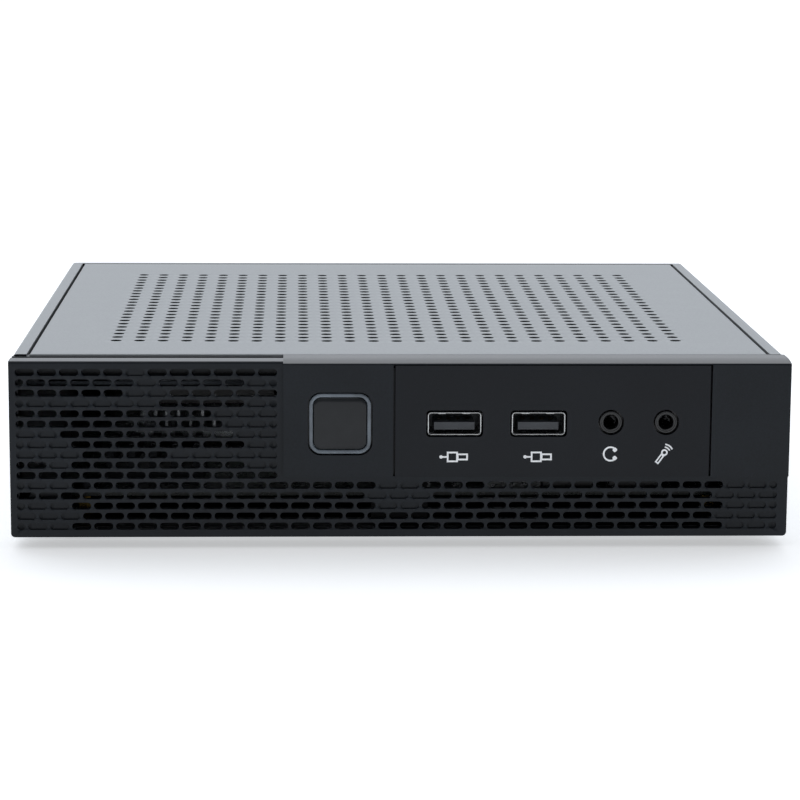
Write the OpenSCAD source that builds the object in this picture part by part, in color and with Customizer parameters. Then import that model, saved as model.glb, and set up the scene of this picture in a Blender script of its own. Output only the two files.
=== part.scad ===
// A compact desktop computer: a black front with a slotted grille, a raised port and button block,
// and a silver sheet-metal case with a perforated top, around a small mainboard.
// Origin at the bottom centre of the whole, under the rubber feet: X to the right, Y to the rear, Z up.
// Every module draws in the case's own measures: X from the middle, Y back from the front face of the
// grille, Z up from the case's underside. in_case() moves them to the origin.

/* [Case] */
// Width over the side walls
case_w = 190; // [188:0.5:194]
// Depth from the grille's front face to the rear wall
case_d = 192.3; // [192:0.1:196]
// Height from the underside to the side rails' top
case_h = 43.65; // [43.4:0.05:45]
// Height of the rubber feet
foot_h = 3; // [2:0.5:6]
// Diameter of a rubber foot
foot_dia = 14; // [10:0.5:16]
// Thickness of the sheet metal
sheet_t = 1; // [0.8:0.1:1]
// Outer radius of the folds in the sheet metal
fold_r = 1.2; // [0.5:0.1:1.5]
// Width of the rails that turn in over the cover
rail_w = 3.5; // [3:0.1:4]

/* [Top cover] */
// Gap between the cover and each rail
cover_gap = 0.7; // [0.3:0.1:1]
// Diameter of a hole in the cover
hole_dia = 2.75; // [2:0.05:3.5]
// Spacing of the holes, both ways
hole_pitch = 5.925; // [5.5:0.025:6]
// Holes across the width
hole_cols = 25; // [5:1:27]
// Holes from front to back
hole_rows = 23; // [5:1:25]
// Distance from the front face to the first row of holes
hole_first_y = 32.8; // [28:0.1:34]

/* [Front] */
// Depth of the moulded front
bezel_d = 9.9; // [9:0.1:10]
// Thickness of its face
face_t = 2; // [1.6:0.1:2.4]
// How far the button and port block stands proud
block_proud = 1; // [0.6:0.1:1.4]
// Left edge of the block
block_x = -28.7; // [-29:0.1:-28]
// Underside of the block
block_z = 15.05; // [14.6:0.05:15.3]
// Left and right seams of the port plate
plate_seams = [-1.75, 75.5];
// Width of each seam
seam_w = 0.5; // [0.3:0.1:0.8]

/* [Grille] */
// Length of a slot
slot_len = 4.66; // [3.5:0.01:4.7]
// Height of a slot
slot_h = 1.75; // [1:0.01:1.8]
// Length of the short slots that end every second row
end_slot_len = 2; // [1.8:0.1:2.1]
// Spacing of the slots along a row
slot_pitch = 5.33; // [5.3:0.01:5.35]
// Spacing of the rows
row_pitch = 2.536; // [2.4:0.002:2.55]
// Height of the top row's middle
top_row_z = 40.73; // [40.5:0.01:41]
// Left end of the first slot
grille_x = -93.45; // [-93.5:0.01:-92.5]
// Rows beside the block, which hold fewer slots
side_rows = 11; // [11:1:11]
// All rows
all_rows = 16; // [16:1:16]
// Slots in a row beside the block
side_slots = 12; // [12:1:12]
// Slots in a row below the block
full_slots = 35; // [35:1:35]
// Depth of a slot that a rib or boss closes from behind
blind_depth = 0.8; // [0.4:0.1:1.2]

/* [Power button] */
// Middle of the button, across and up
button_at = [-14.9, 28.2];
// Width and height over the ring
button_size = [15.1, 14.9];
// Opening in the block
button_hole = [15.74, 15.5];
// Width of the light ring
ring_w = 1; // [0.8:0.1:1.4]
// How far the button can be pressed
button_travel = 1; // [0.5:0.1:1]

/* [Front ports] */
// Middles of the two USB sockets
usb_x = [12.95, 33.45];
// Height of their middles
usb_z = 28.16; // [28:0.01:28.5]
// Outside of a USB shell, across and up
usb_shell = [13.14, 5.7];
// Middles of the headphone and the microphone jack
jack_x = [51.1, 64.6];
// Height of their middles
jack_z = 28.55; // [28.3:0.05:28.6]
// Bore of a 3.5 mm jack
jack_bore = 3.6; // [3.6:0.02:3.7]
// Diameter of a jack's collar
jack_collar = 5.5; // [5.3:0.1:6.1]
// Thickness of the printed marks under the sockets
mark_t = 0.03; // [0.02:0.01:0.05]

/* [Inside] */
// Side of the square mainboard
board_w = 170; // [170:1:170]
// Thickness of a circuit board
board_t = 1.6; // [1.2:0.2:1.6]
// Height of the standoffs under the mainboard
standoff_h = 5; // [4.5:0.5:5]
// Middle of the processor, across and back
cpu_at = [-30, 110];
// Side of the square cooler
cooler_w = 78; // [70:1:78]
// Side of the square fan
fan_w = 70; // [60:1:70]
// Thickness of the fan
fan_t = 10; // [10:1:10]

/* [Hidden] */

front_y = -(case_d - block_proud - mark_t) / 2;
half_w = case_w / 2;
rail_in = half_w - rail_w;
cover_w = 2 * (rail_in - cover_gap);
cover_back = case_d - 3;
cover_fold_h = 6;
wall_back = bezel_d + sheet_t;
rear_in = case_d - sheet_t;
face_top = case_h - 0.23;
block_front = -block_proud;
board_z = sheet_t + standoff_h;
board_top = board_z + board_t;
board_back = case_d - 2.5;
board_front = board_back - board_w;
thru = 1;

boss_at = [[-87, 7.7], [87, 7.7], [-87, 21.5], [0, 10.3]];
boss_r = 4.2;
bezel_screw_r = 1.2;
ear_x = [-70, 70];
ear_z = 37;
ear_screw_r = 1.25;
ear_head_r = 2.6;
foot_at = [for (x = [-80, 80]) for (y = [22, 172]) [x, y]];
board_hole_x = 78.74;
board_hole_in = [10.16, 165.1];
board_holes = [for (x = [-board_hole_x, board_hole_x]) for (d = board_hole_in) [x, board_back - d]];
board_screw_r = 1.5;
tab_at = [8, 66];
port_board_z = 23.6;
port_board_top = port_board_z + board_t;
port_board_y = [1.6, 26];
tab_y = 20;
port_screw_r = 1;

// Slots with a rib or boss behind them: row, first and last slot, where -1 is the short slot at the left.
blind_runs = [
    [1, 5, 5], [2, 5, 5], [2, 10, 11], [3, 5, 6], [4, -1, 5], [4, 10, 11], [5, 9, 11], [6, 9, 11],
    [7, 0, 1], [7, 10, 11], [8, -1, 1], [8, 10, 11], [9, 0, 2], [9, 7, 11], [10, 1, 1], [10, 10, 11],
    [12, -1, 1], [12, 16, 17], [12, 32, 34], [13, 16, 18], [13, 32, 34], [14, -1, 1], [14, 16, 17],
    [14, 32, 34], [15, 0, 2], [15, 32, 34], [16, -1, 1], [16, 32, 34]
];

module in_case() { translate([0, front_y, foot_h]) children(); }
module slab(x, y, z) { translate([x[0], y[0], z[0]]) cube([x[1] - x[0], y[1] - y[0], z[1] - z[0]]); }
// A drawing in X and Z, given thickness from y[0] to y[1].
module wall(y) { translate([0, y[1], 0]) rotate([90, 0, 0]) linear_extrude(y[1] - y[0]) children(); }
// A drawing in Y and Z, given length from x[0] to x[1].
module bar(x) { translate([x[0], 0, 0]) rotate([90, 0, 90]) linear_extrude(x[1] - x[0]) children(); }
// A drawing in X and Y, given height from z[0] to z[1].
module plate(z) { translate([0, 0, z[0]]) linear_extrude(z[1] - z[0]) children(); }
module rod(at, y, r) {
    translate([at[0], y[0], at[1]]) rotate([-90, 0, 0]) cylinder(h = y[1] - y[0], r = r, $fn = 48);
}
module post(at, z, r) { translate([at[0], at[1], z[0]]) cylinder(h = z[1] - z[0], r = r, $fn = 48); }
module rect(x, z) { translate([x[0], z[0]]) square([x[1] - x[0], z[1] - z[0]]); }
module rounded(size, r) {
    square([size[0] - 2 * r, size[1]], center = true);
    square([size[0], size[1] - 2 * r], center = true);
    for (x = [-1, 1]) for (y = [-1, 1])
        translate([x * (size[0] / 2 - r), y * (size[1] / 2 - r)]) circle(r = r, $fn = 32);
}
module rounded_at(at, size, r) { translate(at) rounded(size, r); }
function span(middle, width) = [middle - width / 2, middle + width / 2];
function arc(c, r, a0, a1, n) = [for (i = [0:n])
    let (a = a0 + (a1 - a0) * i / n) [c[0] + r * cos(a), c[1] + r * sin(a)]];

// ---- Case ----

module base_tray() {
    ledge_y = bezel_d + 6;
    inner_x = [-half_w + thru / 2, half_w - thru / 2];
    color("silver") in_case() difference() {
        union() {
            wall([bezel_d, case_d]) difference() {
                rounded_at([0, case_h / 2], [case_w, case_h], fold_r);
                rect([-half_w + sheet_t, half_w - sheet_t], [sheet_t, case_h - sheet_t]);
                rect([-rail_in, rail_in], [case_h - 2 * sheet_t, case_h + thru]);
            }
            slab(inner_x, [bezel_d, wall_back], [thru / 2, case_h - sheet_t]);
            slab(inner_x, [bezel_d, ledge_y], [case_h - 2 * sheet_t, case_h - sheet_t]);
            slab(inner_x, [rear_in, case_d], [thru / 2, case_h - sheet_t / 2]);
            slab([-rail_in - thru / 2, rail_in + thru / 2], [cover_back + 0.6, case_d],
                 [case_h - sheet_t, case_h]);
            for (x = tab_at)
                slab(span(x, 9), [bezel_d, 25], [port_board_z - sheet_t, port_board_z]);
        }
        front_wall_openings();
        for (at = boss_at) rod(at, [bezel_d - thru, wall_back + thru], bezel_screw_r + 0.3);
        for (x = tab_at) post([x, tab_y], [port_board_z - 2, port_board_z + thru], port_screw_r);
        rear_wall_openings();
    }
}

module front_wall_openings() {
    wall([bezel_d - thru, wall_back + thru]) {
        rect([-93, -31], [25.3, 40.5]);
        rect([-81, -31], [2.5, 28]);
        rect([-93, -80], [12.2, 17.2]);
        rect([-24, -5], [18, 38]);
        rect([2, 74], [port_board_z, 38]);
        rect([-32, -7], [2.5, 13.5]);
        rect([7, 81], [2.5, 13.5]);
    }
}

module rear_wall_openings() {
    vent_r = 1.3;
    vent_pitch = 5;
    wall([rear_in - thru, case_d + thru]) {
        rect([-79.4, 79.4], [5, 28]);
        for (i = [-11:11]) for (z = [33, 38]) translate([i * vent_pitch, z]) circle(r = vent_r, $fn = 24);
    }
    for (x = ear_x) {
        rod([x, ear_z], [rear_in - thru, case_d], ear_screw_r + 0.1);
        translate([x, case_d, ear_z]) rotate([90, 0, 0])
            cylinder(h = sheet_t, r1 = ear_head_r + 0.1, r2 = ear_screw_r + 0.1, $fn = 48);
    }
}

module top_cover() {
    fold_x = cover_w / 2;
    fold_y = [bezel_d + 7, rear_in - 4];
    under = case_h - sheet_t;
    color("silver") in_case() difference() {
        union() {
            plate([under, case_h])
                rounded_at([0, (bezel_d + cover_back) / 2], [cover_w, cover_back - bezel_d], 0.8);
            for (s = [-1, 1])
                slab(span(s * (fold_x - sheet_t / 2), sheet_t), fold_y, [under - cover_fold_h, under]);
            for (x = ear_x) {
                slab(span(x, 12), [cover_back - sheet_t, rear_in], [under - sheet_t, under]);
                slab(span(x, 12), [rear_in - sheet_t, rear_in], [ear_z - 5, under]);
            }
        }
        plate([under - thru, case_h + thru]) for (i = [0:hole_cols - 1]) for (j = [0:hole_rows - 1])
            translate([(i - (hole_cols - 1) / 2) * hole_pitch, hole_first_y + j * hole_pitch])
                circle(d = hole_dia, $fn = 24);
        for (x = ear_x) rod([x, ear_z], [rear_in - 2, rear_in + thru], ear_screw_r);
    }
}

module cover_screws() {
    recess_r = 1.1;
    color("dimgray") in_case() for (x = ear_x) difference() {
        union() {
            rod([x, ear_z], [rear_in - 5, rear_in + 0.1], ear_screw_r);
            translate([x, case_d, ear_z]) rotate([90, 0, 0])
                cylinder(h = sheet_t, r1 = ear_head_r, r2 = ear_screw_r, $fn = 48);
        }
        for (a = [0, 90]) translate([x, case_d, ear_z]) rotate([0, a, 0])
            cube([2 * recess_r, 1, 0.5], center = true);
    }
}

module rubber_feet() {
    foot_r = foot_dia / 2;
    color("black") in_case() for (at = foot_at) translate([at[0], at[1], -foot_h]) rotate_extrude($fn = 64)
        polygon([[0, 0], [foot_r - 1, 0], [foot_r - 0.3, 0.5], [foot_r, foot_h], [0, foot_h]]);
}

// ---- Moulded front ----

function slots_in(row) = row <= side_rows ? side_slots : full_slots;
function row_z(row) = top_row_z - (row - 1) * row_pitch;
function row_shift(row) = row % 2 == 0 ? slot_pitch / 2 : 0;
function is_end(row, k) = row % 2 == 0 && (k < 0 || k == slots_in(row) - 1);
function row_end(row) = grille_x + (slots_in(row) - 1) * slot_pitch + slot_len;
function slot_mid(row, k) = !is_end(row, k) ? grille_x + slot_len / 2 + k * slot_pitch + row_shift(row)
    : k < 0 ? grille_x + end_slot_len / 2 : row_end(row) - end_slot_len / 2;
function is_blind(row, k) = len([for (b = blind_runs) if (b[0] == row && k >= b[1] && k <= b[2]) k]) > 0;

module slot(length) {
    square([length - slot_h, slot_h], center = true);
    for (s = [-1, 1]) translate([s * (length - slot_h) / 2, 0]) circle(d = slot_h, $fn = 24);
}

module slots(blind) {
    for (row = [1:all_rows]) for (k = [row % 2 == 0 ? -1 : 0 : slots_in(row) - 1])
        if (is_blind(row, k) == blind)
            translate([slot_mid(row, k), row_z(row)]) slot(is_end(row, k) ? end_slot_len : slot_len);
}

// Section of the raised block: a flat face, and a top that curves down to it.
crown_r = 35.4;
crown_y = 5.5;
crown_a = 100;
block_top = case_h - 0.05;
crown_foot = block_top - crown_r + crown_r * sin(crown_a);
plate_top = crown_foot - 0.5;
module block_section() {
    edge_r = 0.4;
    lip_t = 2;
    crown = arc([crown_y, block_top - crown_r], crown_r, 90, crown_a, 6);
    edge = arc([block_front + edge_r, crown_foot - edge_r], edge_r, crown_a, 180, 4);
    polygon(concat([[bezel_d, block_top]], crown, edge,
        [[block_front, block_z], [face_t, block_z], [face_t, case_h - lip_t], [bezel_d, case_h - lip_t]]));
}

// Section of the grille's top edge: a lip, a groove and the riser that the cover's edge meets.
module lip_section() {
    lip_d = 5.6;
    groove_z = case_h - 4;
    riser_y = bezel_d - 1.2;
    polygon(concat(arc([0.6, face_top - 0.6], 0.6, 180, 90, 4),
        [[lip_d, face_top], [lip_d, groove_z + 1.2], [riser_y, groove_z + 1.2], [riser_y, case_h - 0.4],
         [bezel_d - 0.1, case_h - 0.4], [bezel_d - 0.1, groove_z], [0, groove_z]]));
}

module front_bezel() {
    mid_z = face_top / 2;
    pocket = [plate_seams[0] - seam_w / 2, plate_seams[1] + seam_w / 2];
    inner_x = [-half_w + face_t, half_w - face_t];
    color("#23262a") in_case() difference() {
        union() {
            difference() {
                wall([0, bezel_d]) difference() {
                    rounded_at([0, mid_z], [case_w, face_top], 1);
                    rect([block_x, half_w + thru], [block_z, case_h]);
                }
                slab([-half_w + face_t, block_x + thru], [face_t, bezel_d + thru], [face_t, case_h]);
                slab(inner_x, [face_t, bezel_d + thru], [face_t, block_z + thru]);
                slab([-half_w - thru, block_x], [-thru, bezel_d + thru], [case_h - 4, case_h]);
            }
            bar([-half_w, block_x]) lip_section();
            bar([block_x, half_w]) block_section();
            slab([half_w - face_t, half_w], [block_front + 1, bezel_d], [block_z, case_h - 1]);
            for (at = boss_at) rod(at, [face_t - 0.5, bezel_d], boss_r);
        }
        slab(pocket, [block_front - thru, face_t + thru], [block_z, plate_top + 0.15]);
        wall([block_front - thru, face_t + thru]) rounded_at(button_at, button_hole, 3.2);
        wall([-thru, face_t + thru]) slots(false);
        wall([-thru, blind_depth]) slots(true);
        for (at = boss_at) rod(at, [face_t + 2, bezel_d + thru], bezel_screw_r + 0.05);
    }
    color("#23262a") in_case() wall([1.25, face_t + 0.4]) difference() {
        rect([pocket[0] - 1, pocket[1] + 1], [block_z - 1, case_h - 2.1]);
        rect([0.5, 74], [block_z + 1.5, 41]);
    }
}

module bezel_screws() {
    color("dimgray") in_case() for (at = boss_at) {
        rod(at, [face_t + 3, wall_back], bezel_screw_r);
        rod(at, [wall_back, wall_back + 1.8], 2.5);
    }
}

module port_plate() {
    width = [plate_seams[0] + seam_w / 2, plate_seams[1] - seam_w / 2];
    cutout = [usb_shell[0] + 0.7, usb_shell[1] + 0.9];
    collar_gap = 0.4;
    color("#1f2225") in_case() difference() {
        slab(width, [block_front, 1.2], [block_z, plate_top]);
        wall([block_front - thru, 2]) {
            for (x = usb_x) rounded_at([x, usb_z + 0.1], cutout, 1);
            for (x = jack_x) translate([x, jack_z]) circle(r = jack_collar / 2 + collar_gap, $fn = 48);
        }
    }
}

// ---- Printed marks: a plug under each USB socket, headphones and a microphone under the jacks ----

module square_ring(size, line) {
    difference() {
        square(size, center = true);
        square([size[0] - 2 * line, size[1] - 2 * line], center = true);
    }
}

// A ring with a gap, from angle a0 round to a1.
module open_ring(r, line, a0, a1) {
    steps = 24;
    polygon(concat(arc([0, 0], r, a0, a1, steps), arc([0, 0], r - line, a1, a0, steps)));
}

module plug_mark() {
    line = 0.42;
    head = [2.7, 2.6];
    blade = [2.7, 1.7];
    lead = 1.6;
    head_x = -0.5;
    lead_x = head_x - head[0] / 2 - 0.7;
    translate([head_x, 0]) square_ring(head, line);
    translate([head_x + (head[0] + blade[0] - 0.5) / 2, 0]) square_ring(blade, line);
    translate([lead_x, 0]) square([lead, line], center = true);
    translate([lead_x - lead / 2 + 0.1, 0]) circle(r = line, $fn = 24);
}

module headphone_mark() {
    band_r = 1.88;
    line = 0.42;
    gap_a = 48;
    cup = [1, 0.95];
    open_ring(band_r, line, gap_a, 360 - gap_a);
    for (s = [-1, 1]) rotate([0, 0, s * (gap_a - 4)]) translate([band_r - line, 0]) rounded(cup, 0.3);
}

module microphone_mark() {
    line = 0.36;
    grip = [1.05, 2.6];
    head_r = 0.82;
    sound_r = [1.75, 2.45];
    rotate([0, 0, -36]) {
        translate([0, -1.35]) square_ring(grip, line);
        translate([0, 0.6]) difference() {
            circle(r = head_r, $fn = 32);
            circle(r = head_r - 0.4, $fn = 32);
        }
        for (r = sound_r) translate([0, 0.35]) open_ring(r, line, 62, 118);
    }
}

module port_marks() {
    plug_z = 20.05;
    headphone_z = 20.75;
    microphone_at = [jack_x[1] - 0.65, 20.6];
    color("white") in_case() wall([block_front - mark_t, block_front]) {
        for (x = usb_x) translate([x, plug_z]) plug_mark();
        translate([jack_x[0], headphone_z]) headphone_mark();
        translate(microphone_at) microphone_mark();
    }
}

// ---- Sockets ----

module usb_shell_tube(depth) {
    metal = 0.3;
    difference() {
        wall([0, depth]) rounded(usb_shell, 0.9);
        wall([-thru, depth - metal]) rounded([usb_shell[0] - 2 * metal, usb_shell[1] - 2 * metal], 0.6);
    }
}

// The insulator of a USB socket: a block at the back and the tongue, below the middle.
module usb_tongue(depth) {
    tongue = [9.9, 1.84];
    union() {
        wall([depth - 4.3, depth - 0.3]) rounded([usb_shell[0] - 0.6, usb_shell[1] - 0.6], 0.6);
        wall([1.2, depth - 4]) translate([0, -0.72]) square(tongue, center = true);
    }
}

module usb_contacts(depth) {
    contact = [1, 0.15];
    pitch = 2.3;
    top_z = 0.2;
    for (i = [-1.5:1.5])
        wall([5.5, depth - 4.35])
            translate([i * pitch, top_z + contact[1] / 2]) square(contact, center = true);
}

usb_depth = 14;
usb_front = -0.5;
module at_front_usb() { for (x = usb_x) translate([x, usb_front, usb_z]) children(); }
module front_usb_shells() { color("silver") in_case() at_front_usb() usb_shell_tube(usb_depth); }
module front_usb_tongues() { color("gray") in_case() at_front_usb() usb_tongue(usb_depth); }
module front_usb_contacts() { color("gold") in_case() at_front_usb() usb_contacts(usb_depth); }

module audio_jack(x) {
    body = [11, 6.4];
    body_y = [1.7, 14.5];
    bore_end = 13.5;
    color("#141414") in_case() difference() {
        union() {
            slab(span(x, body[0]), body_y, [port_board_top, port_board_top + body[1]]);
            rod([x, jack_z], [block_front + 0.4, body_y[0] + 0.5], jack_collar / 2);
        }
        rod([x, jack_z], [block_front - thru, bore_end], jack_bore / 2);
    }
}
module headphone_jack() { audio_jack(jack_x[0]); }
module microphone_jack() { audio_jack(jack_x[1]); }

module front_port_board() {
    color("darkgreen") in_case() difference() {
        slab([4, 72], port_board_y, [port_board_z, port_board_top]);
        for (x = tab_at) post([x, tab_y], [port_board_z - thru, port_board_top + thru], port_screw_r + 0.2);
    }
}

module port_board_screws() {
    color("silver") in_case() for (x = tab_at) {
        post([x, tab_y], [port_board_z - 2, port_board_top], port_screw_r);
        post([x, tab_y], [port_board_top, port_board_top + 1.4], 2);
    }
}

// ---- Power button ----

button_front = block_front + 0.2;
flange_y = [face_t + 0.1, face_t + 1.3];
bracket_y = [bezel_d - 1.5, bezel_d];
stem_r = 2.5;
stem_end = bezel_d - button_travel - 0.1;
plunger_r = 1.7;
plunger_end = bezel_d + 3;
switch_w = 12;
switch_end = bezel_d + 6;
switch_board_end = switch_end + 1.2;

module button_cap() {
    size = [button_size[0] - 2 * ring_w, button_size[1] - 2 * ring_w];
    color("#2e3033") in_case() wall([button_front, flange_y[0]]) rounded_at(button_at, size, 2);
}

module button_light_ring() {
    size = [button_size[0] - 2 * ring_w, button_size[1] - 2 * ring_w];
    color("#6b7076") in_case() wall([button_front, flange_y[0]]) difference() {
        rounded_at(button_at, button_size, 3);
        rounded_at(button_at, size, 2);
    }
}

module button_carrier() {
    flange = [17.6, 17.4];
    color("#202020") in_case() {
        wall(flange_y) rounded_at(button_at, flange, 3);
        rod(button_at, [flange_y[0] + 0.5, stem_end], stem_r);
    }
}

// The return spring as a plain sleeve around the stem, as long as the spring is with the button pressed.
module button_spring() {
    coil_r = 4.2;
    wire = 0.5;
    pressed_end = bracket_y[0] - button_travel - 0.02;
    color("silver") in_case() difference() {
        rod(button_at, [flange_y[1], pressed_end], coil_r + wire / 2);
        rod(button_at, [flange_y[1] - thru, pressed_end + thru], coil_r - wire / 2);
    }
}

module switch_bracket() {
    color("#303030") in_case() difference() {
        slab([-27.4, -1.8], bracket_y, [17, 40]);
        rod(button_at, [bracket_y[0] - thru, bracket_y[1] + thru], stem_r + 0.3);
    }
}

module switch_body() {
    color("#181818") in_case() difference() {
        slab(span(button_at[0], switch_w), [bezel_d, switch_end], span(button_at[1], switch_w));
        rod(button_at, [bezel_d - thru, plunger_end + button_travel + 0.2], plunger_r + 0.08);
    }
}

module switch_plunger() { color("ivory") in_case() rod(button_at, [stem_end, plunger_end], plunger_r); }

module switch_board() {
    size = [16, 17];
    color("darkgreen") in_case()
        slab(span(button_at[0], size[0]), [switch_end, switch_board_end], span(button_at[1], size[1]));
}

module indicator_led() {
    led_r = 1;
    led_up = 6.4;
    color("white") in_case()
        rod([button_at[0], button_at[1] + led_up], [bracket_y[0] - 2, bracket_y[0]], led_r);
}

// ---- Mainboard ----

module mainboard() {
    color("#17402a") in_case() difference() {
        slab([-board_w / 2, board_w / 2], [board_front, board_back], [board_z, board_top]);
        for (at = board_holes) post(at, [board_z - thru, board_top + thru], board_screw_r + 0.4);
    }
}

module board_standoffs() {
    color("gold") in_case() for (at = board_holes) difference() {
        translate([at[0], at[1], sheet_t]) cylinder(h = standoff_h, r = 3, $fn = 6);
        post(at, [sheet_t + 1, board_z + thru], board_screw_r);
    }
}

module board_screws() {
    color("silver") in_case() for (at = board_holes) {
        post(at, [board_z - 3, board_top], board_screw_r);
        post(at, [board_top, board_top + 1.8], 2.9);
    }
}

socket_t = 2.5;
package_t = 1.4;
base_t = 1.5;
fin_h = 7;
sink_z = board_top + socket_t + package_t;
fan_z = sink_z + base_t + fin_h;

module cpu_socket() {
    color("#cfc8b8") in_case() plate([board_top, board_top + socket_t])
        rounded_at(cpu_at, [42, 44], 1);
}

module cpu_package() {
    color("silver") in_case() {
        plate([board_top + socket_t, board_top + socket_t + 0.6]) rounded_at(cpu_at, [37.5, 37.5], 0.5);
        plate([board_top + socket_t + 0.6, sink_z]) rounded_at(cpu_at, [31, 31], 1.5);
    }
}

cooler_screw_in = 3.5;
cooler_screw_at = [for (x = [-1, 1]) for (y = [-1, 1])
    [cpu_at[0] + x * (cooler_w / 2 - cooler_screw_in), cpu_at[1] + y * (cooler_w / 2 - cooler_screw_in)]];
cooler_screw_r = 1.5;

module cooler_heatsink() {
    fin_pitch = 3.2;
    fin_t = 0.9;
    fins = floor(cooler_w / fin_pitch);
    corner = 14;
    color("#c4c7ca") in_case() difference() {
        union() {
            slab(span(cpu_at[0], cooler_w), span(cpu_at[1], cooler_w), [sink_z, sink_z + base_t]);
            for (i = [0:fins - 1])
                slab(span(cpu_at[0] + (i - (fins - 1) / 2) * fin_pitch, fin_t), span(cpu_at[1], cooler_w),
                     [sink_z + base_t - 0.1, fan_z]);
        }
        for (x = [-1, 1]) for (y = [-1, 1])
            slab(span(cpu_at[0] + x * cooler_w / 2, corner), span(cpu_at[1] + y * cooler_w / 2, corner),
                 [sink_z + base_t, fan_z + thru]);
        for (at = cooler_screw_at) post(at, [sink_z - thru, sink_z + base_t + thru], cooler_screw_r + 0.2);
    }
}

module cooler_screws() {
    color("silver") in_case() for (at = cooler_screw_at) {
        post(at, [board_top, sink_z + base_t], cooler_screw_r);
        post(at, [sink_z + base_t, sink_z + base_t + 2], 2.6);
    }
}

rotor_r = 31;
fan_bore_r = 33;
stator_r = 12;
rotor_z = [fan_z + 2.9, fan_z + fan_t - 0.5];
fan_screw_at = [for (x = [-1, 1]) for (y = [-1, 1]) [cpu_at[0] + x * 31, cpu_at[1] + y * 31]];
fan_screw_r = 1.4;
shaft_r = 1.5;

module fan_frame() {
    strut_w = 4;
    color("#1b1c1e") in_case() difference() {
        union() {
            difference() {
                plate([fan_z, fan_z + fan_t]) rounded_at(cpu_at, [fan_w, fan_w], 3);
                post(cpu_at, [fan_z - thru, fan_z + fan_t + thru], fan_bore_r);
            }
            post(cpu_at, [fan_z, fan_z + 2.5], stator_r);
            for (a = [45:90:315]) translate([cpu_at[0], cpu_at[1], fan_z]) rotate([0, 0, a])
                slab([stator_r - 1, fan_bore_r + 1], [-strut_w / 2, strut_w / 2], [0, 2]);
        }
        post(cpu_at, [fan_z + 0.6, fan_z + 4], shaft_r + 0.05);
        for (at = fan_screw_at) post(at, [fan_z - thru, fan_z + fan_t + thru], fan_screw_r + 0.2);
    }
}

module fan_rotor() {
    hub_r = 14;
    blades = 7;
    blade_t = 1.2;
    blade_tilt = 38;
    color("#232527") in_case() translate([cpu_at[0], cpu_at[1], 0]) union() {
        difference() {
            post([0, 0], rotor_z, hub_r);
            post([0, 0], [rotor_z[0] - thru, rotor_z[1] - 1.2], hub_r - 1.2);
        }
        post([0, 0], [fan_z + 0.8, rotor_z[1] - 0.5], shaft_r);
        for (i = [0:blades - 1]) rotate([0, 0, i * 360 / blades]) intersection() {
            difference() {
                post([0, 0], [rotor_z[0] + 0.2, rotor_z[1] - 0.2], rotor_r);
                post([0, 0], [rotor_z[0] - thru, rotor_z[1] + thru], hub_r - 0.6);
            }
            translate([0, 0, (rotor_z[0] + rotor_z[1]) / 2]) rotate([blade_tilt, 0, 0])
                slab([0, rotor_r + 2], [-10, 10], [-blade_t / 2, blade_t / 2]);
        }
    }
}

module fan_screws() {
    color("silver") in_case() for (at = fan_screw_at) {
        post(at, [fan_z, fan_z + fan_t], fan_screw_r);
        post(at, [fan_z + fan_t, fan_z + fan_t + 1], 2.5);
    }
}

module chipset_heatsink() {
    at = [-62, 45];
    size = [26, 26];
    pins = 5;
    pin_w = 2;
    pin_pitch = 5.5;
    color("#9aa0a6") in_case() {
        slab(span(at[0], size[0]), span(at[1], size[1]), [board_top, board_top + 2]);
        for (i = [0:pins - 1]) for (j = [0:pins - 1])
            slab(span(at[0] + (i - 2) * pin_pitch, pin_w), span(at[1] + (j - 2) * pin_pitch, pin_w),
                 [board_top + 1.9, board_top + 8]);
    }
}

module board_chokes() {
    size = [7, 6, 4];
    color("#6d6f72") in_case() for (i = [0:5])
        slab(span(-66 + i * 9, size[0]), span(160, size[1]), [board_top, board_top + size[2]]);
}

module board_capacitors() {
    can_r = 3.1;
    can_h = 8;
    color("#a9adb2") in_case() {
        for (i = [0:6]) post([-70 + i * 8.2, 167], [board_top, board_top + can_h * 0.8], can_r);
        for (at = [[78, 60], [78, 68], [12, 40], [20, 40]]) post(at, [board_top, board_top + can_h], can_r);
    }
}

header_pitch = 2.54;
header_x = [38, 55];
header_y = 26;
header_h = 2.5;

module pin_headers() {
    color("#202124") in_case() for (x0 = header_x)
        slab([x0 - header_pitch / 2, x0 + 4.5 * header_pitch], span(header_y, 2 * header_pitch),
             [board_top, board_top + header_h]);
}

module header_pins() {
    pin = 0.64;
    color("gold") in_case() for (x0 = header_x) for (i = [0:4]) for (j = [-1, 1])
        slab(span(x0 + i * header_pitch, pin), span(header_y + j * header_pitch / 2, pin),
             [board_top + header_h, board_top + 8.5]);
}

module memory_sockets() {
    latch_w = 2;
    color("#26272a") in_case() for (y = [112, 150]) {
        slab([13.5, 84], [y, y + 6], [board_top, board_top + 5]);
        for (x = [13.5, 82]) slab([x, x + latch_w], [y - 29, y + 0.1], [board_top, board_top + 4]);
    }
}

module memory_modules() {
    card_z = board_top + 2;
    chip = [11, 9, 1];
    color("#1d5a37") in_case() for (y = [112, 150]) {
        slab([15.5, 82], [y - 28, y], [card_z, card_z + 1]);
        for (i = [0:3]) for (row = [0, 1])
            slab(span(24 + i * 16.5, chip[0]), span(y - 8 - row * 12, chip[1]),
                 [card_z + 0.9, card_z + 1 + chip[2]]);
    }
}

module wireless_card() {
    color("#1d5a37") in_case() {
        slab([-78, -70], [74, 104], [board_top, board_top + 4]);
        slab([-84.5, -78], [76, 102], [board_top + 2, board_top + 3]);
    }
}

module coin_cell_holder() {
    color("#202124") in_case() difference() {
        post([-4, 48], [board_top, board_top + 4.5], 12);
        post([-4, 48], [board_top + 1, board_top + 6], 10.1);
    }
}

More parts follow.
